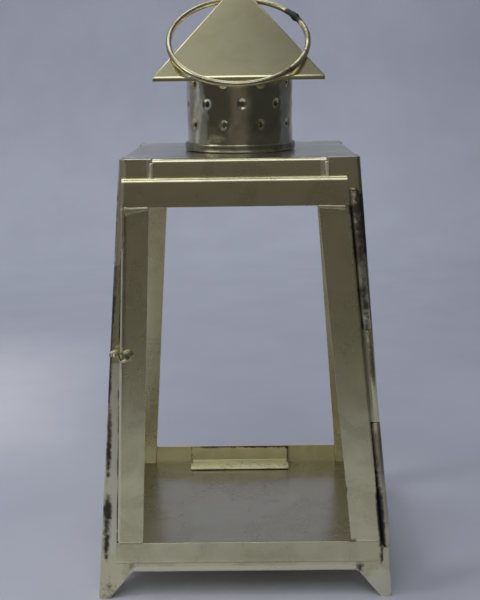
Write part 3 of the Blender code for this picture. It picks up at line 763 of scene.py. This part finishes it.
floor_top = FOOT_HEIGHT + 2 * SHEET + SEAM
floor_half = half_width(floor_top) - SHEET - SEAM
piece_of("floor_sheet", plate(floor_half, floor_top, 48, 2.0), floor_brass, "body",
         "floor_plate", True, CUT_EDGE)
print("floor", round(2 * floor_half, 4), "wide")

# %% Top plate
TIGHT = 0.04 * MM
PUNCH_DEPTH = 8 * MM


def shape_of(piece, *helpers):
    """Final shape of an object as a bmesh. The object and its helpers are removed."""
    graph = bpy.context.evaluated_depsgraph_get()
    mesh = bmesh.new()
    mesh.from_mesh(bpy.data.meshes.new_from_object(piece.evaluated_get(graph)))
    for spent in (piece, *helpers):
        bpy.data.objects.remove(spent)
    return mesh


def punched(mesh, cutters, material):
    """Sheet of the usual thickness with the shapes of the cutters taken out."""
    shell = new_object("blank", mesh, material)
    thicken(shell)
    punches = []
    for cutter in cutters:
        punches.append(new_object("punch", cutter, material))
        cut = shell.modifiers.new("Punch", "BOOLEAN")
        cut.operation = "DIFFERENCE"
        cut.solver = "EXACT"
        cut.object = punches[-1]
    return shape_of(shell, *punches)


def top_cutters():
    """Round vent, and a notch along each side for the inward leg of its rail."""
    vent = bmesh.new()
    bmesh.ops.create_cone(vent, cap_ends=True, segments=96, radius1=VENT_RADIUS, radius2=VENT_RADIUS,
                          depth=PUNCH_DEPTH, matrix=at_height(BODY_HEIGHT))
    found = [vent]
    for side in range(4):
        notch = bmesh.new()
        bmesh.ops.create_cube(notch, size=1)
        size = (2 * (PLATE_HALF - POST_FLANGE), 2 * (RAIL_RETURN + TIGHT), PUNCH_DEPTH)
        bmesh.ops.scale(notch, verts=notch.verts, vec=size)
        place = side_turn(side) @ Matrix.Translation((0, -PLATE_HALF, BODY_HEIGHT))
        bmesh.ops.transform(notch, verts=notch.verts, matrix=place)
        found.append(notch)
    return found


mesh = punched(plate(PLATE_HALF - SHEET - TIGHT, BODY_HEIGHT, 40, 5.0), top_cutters(), plate_brass)
piece_of("top_sheet", mesh, plate_brass, "body", "top_plate")

# %% Pane clip
CLIP_LENGTH, CLIP_OFFSET, CLIP_HEIGHT = 66 * MM, -4 * MM, 12.7 * MM
CLIP_LIP, CLIP_FOLD, PANE_SLOT = 11.5 * MM, 1.8 * MM, 2.2 * MM


def clip_leg(height):
    return -half_width(height) + SHEET / cos(LEAN) + PANE_SLOT


clip_low = floor_top + SEAM
clip_high = clip_low + CLIP_HEIGHT
clip_fold = clip_low + CLIP_FOLD
clip_path = [(clip_leg(clip_fold) + CLIP_LIP, clip_low), (clip_leg(clip_fold), clip_fold),
             (clip_leg(clip_high), clip_high)]
rows = [[(-CLIP_OFFSET + sign * CLIP_LENGTH / 2, y, z) for y, z in clip_path] for sign in (-1, 1)]
mesh = strip(moved(rows, side_turn(2)), (1, 0, 0), 30, 3)
out_of_true(mesh, seed=11)
piece_of("rear_clip", mesh, clip_brass_painted_light, "body", "rear_pane_clip", True, CUT_EDGE)

# %% [markdown]
# ## Chimney
#
# The chimney is a strip of sheet that is punched with three rows of holes while it is flat, then rolled and
# soldered into a tube. The punch pushes the metal in round each hole, which leaves a shallow dish that
# catches the light as a bright ring. It is made here in the same order: a flat grid with one cell for each
# hole, where the cells with holes are inset to a circle, sunk and opened, and then the grid is rolled up.

# %% Chimney
PER_ROW, HOLE_ROWS = 9, 3
HOLE_RADIUS = 1.5 * MM
DISH_RADIUS = 3.4 * MM
DISH_DEPTH = 0.50 * MM
FIRST_ROW, ROW_PITCH = 14.9 * MM, 11.15 * MM
HOLE_TURN = 3.4
TUBE_DENT = 0.8 * MM
chimney_low, chimney_high = (corner.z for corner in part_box("chimney"))


def round_cell(mesh, face, centre):
    """Turn one square cell into a dished hole. The sheet lies in X and Z, its outside towards -Y."""
    steps = ((DISH_RADIUS * 1.16, 0.0), (DISH_RADIUS, 0.0), (DISH_RADIUS * 0.85, 0.16),
             (DISH_RADIUS * 0.70, 0.5), (HOLE_RADIUS * 1.12, 0.9), (HOLE_RADIUS, 1.0))
    for radius, sunk in steps:
        bmesh.ops.inset_individual(mesh, faces=[face], thickness=0.1 * MM, depth=0)
        for vertex in face.verts:
            away = Vector((vertex.co.x - centre.x, 0, vertex.co.z - centre.z)).normalized()
            vertex.co = centre + away * radius + Vector((0, sunk * DISH_DEPTH, 0))
    bmesh.ops.delete(mesh, geom=[face], context="FACES")


def chimney_mesh():
    mesh = bmesh.new()
    columns = PER_ROW * 2
    around = tau * CHIMNEY_RADIUS
    cell = around / columns
    levels = [chimney_low] + [BODY_HEIGHT + FIRST_ROW + ROW_PITCH * (row - 0.5) for row in range(HOLE_ROWS + 1)]
    levels.append(chimney_high)
    bridged(mesh, [[(cell * (column - 0.5), 0, level) for column in range(columns + 1)] for level in levels])
    cells = {}
    for face in mesh.faces:
        middle = face.calc_center_median()
        row = sum(middle.z > level for level in levels) - 2
        column = round(middle.x / cell)
        if 0 <= row < HOLE_ROWS and (column + row + 1) % 2 == 0:
            cells[(row, column)] = middle
    bmesh.ops.subdivide_edges(mesh, edges=mesh.edges, cuts=7, use_grid_fill=True)
    for centre in cells.values():
        inner = [f for f in mesh.faces if max(abs(f.calc_center_median().x - centre.x) / cell,
                                              abs(f.calc_center_median().z - centre.z) / ROW_PITCH) < 0.48]
        merged = bmesh.ops.dissolve_faces(mesh, faces=inner, use_verts=False)["region"][0]
        round_cell(mesh, merged, centre)
    face_away(mesh, (0, 1, 0))
    for vertex in mesh.verts:
        angle = radians(-90 + HOLE_TURN) + vertex.co.x / CHIMNEY_RADIUS
        radius = CHIMNEY_RADIUS - vertex.co.y
        place = Vector((radius * cos(angle), radius * sin(angle), vertex.co.z))
        radius -= TUBE_DENT * (0.5 + 0.5 * noise.noise(place / (11 * MM)))
        vertex.co = BODY @ Vector((radius * cos(angle), radius * sin(angle), vertex.co.z))
    bmesh.ops.remove_doubles(mesh, verts=mesh.verts, dist=0.02 * MM)
    return mesh


mesh = chimney_mesh()
piece_of("pierced_tube", mesh, chimney_brass, "body", "chimney", True)

# %% [markdown]
# ## Bead round the chimney's foot
#
# A half-round wire is laid in the corner between the tube and the top plate to hide the joint. A profile
# spun once round the axis gives it.

# %% Bead


def spun(profile, segments, matrix=BODY):
    """Closed profile of (radius, height) points spun about Z."""
    mesh = bmesh.new()
    points = [mesh.verts.new((radius, 0, height)) for radius, height in profile]
    lines = [mesh.edges.new(pair) for pair in zip(points, points[1:] + points[:1])]
    bmesh.ops.spin(mesh, geom=points + lines, cent=(0, 0, 0), axis=(0, 0, 1), angle=tau, steps=segments,
                   use_merge=True)
    bmesh.ops.remove_doubles(mesh, verts=mesh.verts, dist=0.001 * MM)
    bmesh.ops.recalc_face_normals(mesh, faces=mesh.faces)
    bmesh.ops.transform(mesh, matrix=matrix, verts=mesh.verts)
    return mesh


bead_low, bead_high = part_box("chimney_bead")
bead_inner = CHIMNEY_RADIUS + SEAM
bead_outer = (bead_high.x - bead_low.x) / 2
profile = [(bead_inner, bead_low.z)]
for step in range(13):
    angle = pi * (step / 12 - 0.5)
    height = bead_low.z + (bead_high.z - bead_low.z) * (1 + sin(angle)) / 2
    profile.append((bead_inner + (bead_outer - bead_inner) * (0.35 + 0.65 * cos(angle)), height))
profile.append((bead_inner, bead_high.z))
piece_of("foot_bead", spun(profile, 128), bead_brass, "body", "chimney_bead")

# %% [markdown]
# ## Roof
#
# The roof is one sheet folded into a pyramid, with its lower edge turned down as a rim. A cone with four
# sides is already that shape. Its ridges and rim are bevelled to a small bending radius, and two round holes
# near the tip let the ring through.

# %% Roof
EAVE_HALF = 45 * MM
RIM_LOW = BODY_HEIGHT + 38.7 * MM
RIM_TOP = RIM_LOW + 2.1 * MM
ROOF_RISE = 50.6 * MM
TIP_HALF = 0.8 * MM
TIP_HEIGHT = RIM_TOP + ROOF_RISE
ROOF_SLOPE = ROOF_RISE / EAVE_HALF
RING_HEIGHT = TIP_HEIGHT - 10.1 * MM
RING_WIRE = 1.5 * MM
RING_HOLE = RING_WIRE + 0.8 * MM
RIDGE_BEND = 0.8 * MM


def roof_mesh():
    mesh = bmesh.new()
    top = RIM_TOP + ROOF_SLOPE * (EAVE_HALF - TIP_HALF)
    middle = (RIM_TOP + top) / 2
    bmesh.ops.create_cone(mesh, cap_ends=False, segments=4, radius1=EAVE_HALF * sqrt(2),
                          radius2=TIP_HALF * sqrt(2), depth=top - RIM_TOP,
                          matrix=at_height(middle) @ Matrix.Rotation(radians(45), 4, "Z"))
    rim = [e for e in mesh.edges if max(v.co.z for v in e.verts) < RIM_TOP + MM]
    grown = bmesh.ops.extrude_edge_only(mesh, edges=rim)["geom"]
    for vertex in [g for g in grown if isinstance(g, bmesh.types.BMVert)]:
        vertex.co.z = RIM_LOW
    cap = [e for e in mesh.edges if min(v.co.z for v in e.verts) > top - MM]
    bmesh.ops.edgenet_fill(mesh, edges=cap)
    face_away(mesh, (0, AXIS_Y, RIM_LOW))
    ridges = [e for e in sharp_edges(mesh) if min(v.co.z for v in e.verts) < RIM_TOP + MM]
    bmesh.ops.bevel(mesh, geom=ridges, offset=RIDGE_BEND, offset_type="OFFSET", segments=4, profile=0.5,
                    affect="EDGES", material=-1)
    return mesh


def ring_punch():
    """Rod through both slopes where the ring turns."""
    rod = bmesh.new()
    across = at_height(RING_HEIGHT) @ Matrix.Rotation(radians(90), 4, "Y")
    bmesh.ops.create_cone(rod, cap_ends=True, segments=40, radius1=RING_HOLE, radius2=RING_HOLE,
                          depth=EAVE_HALF * 2, matrix=across)
    return rod


mesh = punched(roof_mesh(), [ring_punch()], roof_brass)
roof = piece_of("folded_roof", mesh, roof_brass, "body", "roof")
roof.data.set_sharp_from_angle(angle=radians(40))

# %% [markdown]
# ## Carrying ring
#
# A length of 3 mm wire is passed through both holes, closed to a circle and brazed. It lies on the roof's
# front, at the lean where the wire touches the slope. A small circle spun about the ring's own axis gives a
# true round wire, and the same turn as in the CAD model lays it down. The braze is a rough dark lump round
# the wire, lofted through outlines that swell and shrink at random.

# %% Ring
RING_RADIUS = 37 * MM
RING_LEAN = radians(37.494)


def ring_matrix():
    """Frame of the ring: origin in its middle, Y away from its holes, Z out of its plane."""
    hole_half = (TIP_HEIGHT - RING_HEIGHT) / ROOF_SLOPE
    reach = sqrt(RING_RADIUS ** 2 - hole_half ** 2)
    down = Vector((0, -cos(RING_LEAN), -sin(RING_LEAN)))
    middle = Vector((0, 0, RING_HEIGHT)) + down * reach
    across = Vector((1, 0, 0))
    out = across.cross(down)
    turn = Matrix((across, down, out)).transposed().to_4x4()
    return BODY @ Matrix.Translation(middle) @ turn


def polar(degrees, radius):
    return Vector((cos(radians(degrees)), sin(radians(degrees)))) * radius


RING = ring_matrix()
mesh = bmesh.new()
bmesh.ops.create_circle(mesh, segments=20, radius=RING_WIRE, matrix=Matrix.Translation((RING_RADIUS, 0, 0))
                        @ Matrix.Rotation(radians(90), 4, "X"))
bmesh.ops.spin(mesh, geom=mesh.verts[:] + mesh.edges[:], cent=(0, 0, 0), axis=(0, 0, 1), angle=tau,
               steps=144, use_merge=True)
bmesh.ops.remove_doubles(mesh, verts=mesh.verts, dist=0.001 * MM)
bmesh.ops.recalc_face_normals(mesh, faces=mesh.faces)
bmesh.ops.transform(mesh, matrix=RING, verts=mesh.verts)

# Soot of the brazing, and painted shade on three places of the wire's right and lower side
BRAZE_TURN = -34
for turn, reach, strength in ((BRAZE_TURN, 4.4, 1.5), (-5, 9, 0.42), (20, 9, 0.42), (45, 9, 0.42)):
    spot("burn_and_shade", RING @ polar(turn, RING_RADIUS).to_3d() / MM, (reach, reach, reach), strength)
piece_of("carrying_wire_ring", mesh, wire_brass, "ring", "carrying_ring")

# %% Braze
LUMP_REACH, LUMP_HEIGHT, LUMP_ROOT, LUMP_GRAIN = 3.4 * MM, 0.9 * MM, 0.1 * MM, 1.6 * MM
LUMP_STEPS, LUMP_CORNERS = 16, 20
sections = []
for step in range(LUMP_STEPS + 1):
    along = 2 * step / LUMP_STEPS - 1
    away = polar(BRAZE_TURN + degrees(along * LUMP_REACH / RING_RADIUS), 1).to_3d()
    section = []
    for corner in range(LUMP_CORNERS):
        lean = tau * corner / LUMP_CORNERS
        out = away * cos(lean) + Vector((0, 0, sin(lean)))
        lump = 0.7 + 0.6 * noise.noise((away * RING_RADIUS + out * RING_WIRE) / LUMP_GRAIN)
        swell = LUMP_HEIGHT * (1 - along * along) * lump - LUMP_ROOT
        section.append(RING @ (away * RING_RADIUS + out * (RING_WIRE + swell)))
    sections.append(section)
mesh = bmesh.new()
lofted(mesh, sections)
piece_of("ring_braze", mesh, wire_brass, "ring")

# %% [markdown]
# ## Door
#
# The door is a frame of four folded strips. The top and bottom strips run across its whole width, and the
# stiles butt against them and are soldered. The outer leg of each fold reaches back to the posts. The door
# was soldered together a little out of square, so neither upright edge is parallel to the posts.

# %% Door
DOOR_DEPTH = 6 * MM
DOOR_LOW = up_slope(21.4 * MM)
DOOR_HIGH = up_slope(BODY_HEIGHT - 9.5 * MM)
TOP_STRIP, BOTTOM_STRIP = 15 * MM, 12.3 * MM
LATCH_STILE, HINGE_STILE = 14.3 * MM, 16 * MM
LATCH_INSET_TOP, LATCH_INSET_BOTTOM = 2.6 * MM, 9.4 * MM
HINGE_INSET_TOP, HINGE_INSET_BOTTOM = 5.1 * MM, 1.3 * MM
BARREL = 2.4 * MM
STRIP_FOLD, LATCH_FOLD, HINGE_FOLD = 2.6 * MM, 3.4 * MM, 0.9 * MM


def corner_at(along):
    """X of the front's right corner at a distance up the slope."""
    return half_width(along * cos(LEAN))


def between(bottom, top, along):
    """A size that changes evenly from the door's bottom edge to its top edge."""
    return bottom + (top - bottom) * (along - DOOR_LOW) / (DOOR_HIGH - DOOR_LOW)


def latch_edge(along):
    """X of the door's left edge."""
    return between(LATCH_INSET_BOTTOM, LATCH_INSET_TOP, along) - corner_at(along)


def hinge_middle(along):
    """X of the line that the door turns about."""
    return corner_at(along) - between(HINGE_INSET_BOTTOM, HINGE_INSET_TOP, along)


def hinge_edge(along):
    """X of the door's right edge, beside the barrel."""
    return hinge_middle(along) - BARREL - DOOR_PLAY


def door_strip(path):
    rows = [[(edge(along), along, -depth) for depth, along in path] for edge in (latch_edge, hinge_edge)]
    return strip(moved(rows, FRONT), (1, 0, 0), 48, 4, STRIP_FOLD)


def door_stile(edge, inward, width, fold):
    path = [(width * inward, -DOOR_DEPTH), (0, -DOOR_DEPTH), (0, -DOOR_PLAY)]
    low = DOOR_LOW + BOTTOM_STRIP + SEAM
    high = DOOR_HIGH - TOP_STRIP - SEAM
    rows = [[(edge(along) + x, along, -depth) for x, depth in path] for along in (low, high)]
    return strip(moved(rows, FRONT), (0, 0, 1), 60, 12, fold)


FACE, BACK = -DOOR_DEPTH, -DOOR_PLAY
top_path = [(FACE, DOOR_HIGH - TOP_STRIP), (FACE, DOOR_HIGH), (BACK, DOOR_HIGH)]
bottom_path = [(BACK, DOOR_LOW), (FACE, DOOR_LOW), (FACE, DOOR_LOW + BOTTOM_STRIP)]
door_pieces = (
    ("door_top_fold", "door_top_strip", strip_brass, door_strip(top_path)),
    ("door_bottom_fold", "door_bottom_strip", strip_brass, door_strip(bottom_path)),
    ("door_latch_fold", "door_latch_stile", door_brass, door_stile(latch_edge, 1, LATCH_STILE, LATCH_FOLD)),
    ("door_hinge_fold", "door_hinge_stile", door_brass, door_stile(hinge_edge, -1, HINGE_STILE, HINGE_FOLD)),
)
for name, node, material, mesh in door_pieces:
    out_of_true(mesh, amount=0.15 * MM, length=36 * MM, seed=len(name) * 1.7)
    piece_of(name, mesh, material, "door", node, True, CUT_EDGE)

# %% [markdown]
# ## Solder of the door
#
# The upper butts got a broad wedge of solder that narrows towards the window, the lower ones a thin line,
# and a long smear is wiped down over the latch edge. Each row below gives X and the distance up the slope
# at both ends of a run, its width, and how much of that is left at its end.

# %% Solder of the door
RUN_HEIGHT = 0.26 * MM
out = FRONT.to_3x3() @ Vector((0, 0, 1))
upper = DOOR_HIGH - TOP_STRIP
lower = DOOR_LOW + BOTTOM_STRIP + SEAM / 2
latch_upper, latch_lower, hinge_upper, hinge_lower = (
    edge(along) for edge in (latch_edge, hinge_edge) for along in (upper, lower))
runs = (
    (latch_upper + 1.6 * MM, latch_upper + LATCH_STILE, upper - 1.7 * MM, upper - 0.4 * MM, 4.8 * MM, 0.4),
    (hinge_upper - 2 * MM, hinge_upper - HINGE_STILE, upper - 1.2 * MM, upper - 0.4 * MM, 3.0 * MM, 0.6),
    (latch_lower + 1.2 * MM, latch_lower + LATCH_STILE, lower, lower, 1.4 * MM, 1.0),
    (hinge_lower - 2 * MM, hinge_lower - HINGE_STILE, lower, lower, 1.4 * MM, 1.0),
)
mesh = bmesh.new()
for first, last, along_first, along_last, width, taper in runs:
    start = FRONT @ Vector((first, along_first, DOOR_DEPTH))
    end = FRONT @ Vector((last, along_last, DOOR_DEPTH))
    solder_run(mesh, start, end, out, width, RUN_HEIGHT, taper)
smear_ends = [FRONT @ Vector((latch_edge(along) + 0.9 * MM, along, DOOR_DEPTH - 0.9 * MM))
              for along in (upper - 22 * MM, DOOR_HIGH - 4 * MM)]
solder_run(mesh, *smear_ends, FRONT.to_3x3() @ Vector((-0.65, 0, 0.76)), 2.6 * MM, 0.5 * MM)
piece_of("door_solder", mesh, solder, "door")

# %% [markdown]
# ## Hinge
#
# Three lengths of tube on one headed pin. The outer two are soldered to the post and burnt by the torch, and
# the middle one turns with the door, to which a fillet of solder joins it. Tubes and pin are outlines spun
# about the hinge's own line, which leans a little more than the post. The fillet is lofted up that line.

# %% Hinge
PIN = 1.0 * MM
PIN_HEAD, PIN_HEAD_HEIGHT = 1.7 * MM, 0.8 * MM
HINGE_PLAY = 0.3 * MM
HINGE_MARGIN_BOTTOM, HINGE_MARGIN_TOP = 9.1 * MM, 7.7 * MM
LOWER_KNUCKLE, DOOR_KNUCKLE = 68 * MM, 49.4 * MM
TUBE_ROUNDING = 0.25 * MM


def hinge_line(along):
    return Vector((hinge_middle(along), along, BARREL + SEAM))


def hinge_frame():
    """Frame at the hinge's lower end with Z up its middle line, and its length."""
    low = hinge_line(DOOR_LOW + HINGE_MARGIN_BOTTOM)
    high = hinge_line(DOOR_HIGH - HINGE_MARGIN_TOP)
    upright = (high - low).normalized()
    across = upright.cross(Vector((0, 0, 1))).normalized()
    turn = Matrix((across, Vector((0, 0, 1)), upright)).transposed().to_4x4()
    return FRONT @ Matrix.Translation(low) @ turn, (high - low).length


def knuckle(low, high):
    """Tube with slightly rounded ends."""
    inner, soft = PIN + HINGE_PLAY, TUBE_ROUNDING
    profile = [(inner, low), (BARREL - soft, low), (BARREL, low + soft), (BARREL, high - soft),
               (BARREL - soft, high), (inner, high)]
    return spun(profile, 32, hinge_matrix)


hinge_matrix, hinge_length = hinge_frame()
door_knuckle_low = LOWER_KNUCKLE + HINGE_PLAY
door_knuckle_high = door_knuckle_low + DOOR_KNUCKLE
knuckles = (
    ("lower", 0, LOWER_KNUCKLE, burnt_brass, "body", "burnt_brass"),
    ("door", door_knuckle_low, door_knuckle_high, door_brass, "door", "door_brass"),
    ("upper", door_knuckle_high + HINGE_PLAY, hinge_length, burnt_brass, "body", "burnt_brass"),
)
for name, low, high, material, body, slot in knuckles:
    piece_of(name + "_knuckle", knuckle(low, high), material, body, "hinge_knuckle_" + name)

pin_low, pin_high = -SEAM, hinge_length + SEAM
dome = ((1.0, 0), (1.0, 0.6), (0.8, 1.0), (0, 1.0))
pin_profile = [(PIN_HEAD * reach, pin_low - PIN_HEAD_HEIGHT * rise) for reach, rise in reversed(dome)]
pin_profile += [(PIN, pin_low), (PIN, pin_high)]
pin_profile += [(PIN_HEAD * reach, pin_high + PIN_HEAD_HEIGHT * rise) for reach, rise in dome]
piece_of("headed_pin", spun(pin_profile, 24, hinge_matrix), burnt_brass, "body", "hinge_pin")
print("hinge made, length", round(hinge_length, 4))

# %% Fillet of the hinge
# Outline across the fillet in millimetres: X from the door's hinge edge, and depth in front of the post
WRAP = ((-0.15, 5.78), (0.1, 5.55), (0.5, 5.3), (1.0, 5.12), (1.6, 5.1), (2.3, 5.12), (2.2, 4.4), (1.0, 3.4),
        (-0.2, 3.4))
WRAP_STEPS, WRAP_MARGIN = 8, 0.2 * MM
sections = []
for step in range(WRAP_STEPS + 1):
    along = DOOR_LOW + HINGE_MARGIN_BOTTOM + door_knuckle_low + WRAP_MARGIN
    along += (DOOR_KNUCKLE - 2 * WRAP_MARGIN) * step / WRAP_STEPS
    sections.append([FRONT @ Vector((hinge_edge(along) + x * MM, along, depth * MM)) for x, depth in WRAP])
mesh = bmesh.new()
lofted(mesh, sections)
wrap = piece_of("knuckle_fillet", mesh, door_brass, "door")
wrap.data.set_sharp_from_angle(angle=radians(50))

# %% [markdown]
# ## Latch
#
# A short length of 1.5 mm wire is bent to an S: its eye turns on a rivet in the door, its neck sags, and its
# arch drops over a peg on the post. A round-bevelled curve through the same bends makes it, because a curve
# keeps its round section through every bend. Peg and rivet are spun outlines with softly domed ends.

# %% Latch
LATCH_ALONG = up_slope(136 * MM)
LATCH_WIRE, LATCH_PLAY = 1.5 * MM, 0.4 * MM
PEG, PEG_INSET = 1.6 * MM, 3.4 * MM
RIVET_SHANK, RIVET_HEAD, RIVET_HEAD_HEIGHT, RIVET_INSET = 1.8 * MM, 3.9 * MM, 0.7 * MM, 4.5 * MM
NECK_PULL = 4.8 * MM
ARCH, EYE = (200, 15), (-60, 185)
latch_face = DOOR_DEPTH + SEAM


def arc(middle, radius, span, steps):
    """Points round a middle, from the first to the last angle of the span."""
    return [middle + polar(span[0] + (span[1] - span[0]) * step / steps, radius) for step in range(steps + 1)]


def bent_wire(path, radius, matrix):
    """Round wire with capped ends along a path."""
    curve = bpy.data.curves.new("wire", "CURVE")
    curve.dimensions = "3D"
    curve.bevel_depth = radius
    curve.bevel_resolution = 5
    curve.use_fill_caps = True
    spline = curve.splines.new("POLY")
    spline.points.add(len(path) - 1)
    for point, place in zip(spline.points, path):
        point.co = (*place, 1)
    mesh = shape_of(linked("wire", curve))
    bmesh.ops.transform(mesh, matrix=matrix, verts=mesh.verts)
    return mesh


peg = Vector((-corner_at(LATCH_ALONG) + PEG_INSET, LATCH_ALONG))
rivet = Vector((latch_edge(LATCH_ALONG) + RIVET_INSET, LATCH_ALONG))
arch = arc(peg, (PEG + LATCH_WIRE) / 2 + LATCH_PLAY, ARCH, 24)
eye = arc(rivet, (RIVET_SHANK + LATCH_WIRE) / 2 + LATCH_PLAY, EYE, 28)
pulls = (arch[-1] + polar(ARCH[1] - 90, NECK_PULL), eye[0] + polar(EYE[0] - 90, NECK_PULL))
neck = geometry.interpolate_bezier(arch[-1], *pulls, eye[0], 21)
wire_path = [(point.x, point.y, latch_face + LATCH_WIRE / 2) for point in arch + neck[1:-1] + eye]
hook = bent_wire(wire_path, LATCH_WIRE / 2, FRONT)
piece_of("bent_hook", hook, hook_brass, "latch", "latch_hook")

peg_half, peg_top = PEG / 2, latch_face + LATCH_WIRE
peg_profile = [(0, SEAM), (peg_half, SEAM), (peg_half, peg_top), (peg_half * 0.85, peg_top + peg_half * 0.25),
               (peg_half * 0.5, peg_top + peg_half * 0.45), (0, peg_top + peg_half * 0.5)]
peg_mesh = spun(peg_profile, 24, FRONT @ Matrix.Translation((*peg, 0)))
piece_of("hook_peg", peg_mesh, hook_brass, "body", "latch_peg")

head, head_low = RIVET_HEAD / 2, latch_face + LATCH_WIRE + SEAM
rivet_profile = [(0, latch_face), (RIVET_SHANK / 2, latch_face), (RIVET_SHANK / 2, head_low), (head, head_low)]
rivet_profile += [(head * share, head_low + RIVET_HEAD_HEIGHT * rise)
                  for share, rise in ((0.98, 0.5), (0.9, 0.8), (0.78, 0.93), (0.5, 0.98), (0, 1.0))]
rivet_mesh = spun(rivet_profile, 32, FRONT @ Matrix.Translation((*rivet, 0)))
piece_of("hook_rivet", rivet_mesh, door_brass, "door", "latch_rivet")

# %% [markdown]
# ## Size
#
# The outer box of the visible lantern, without the sweep, is measured.

# %% Size
low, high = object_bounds()
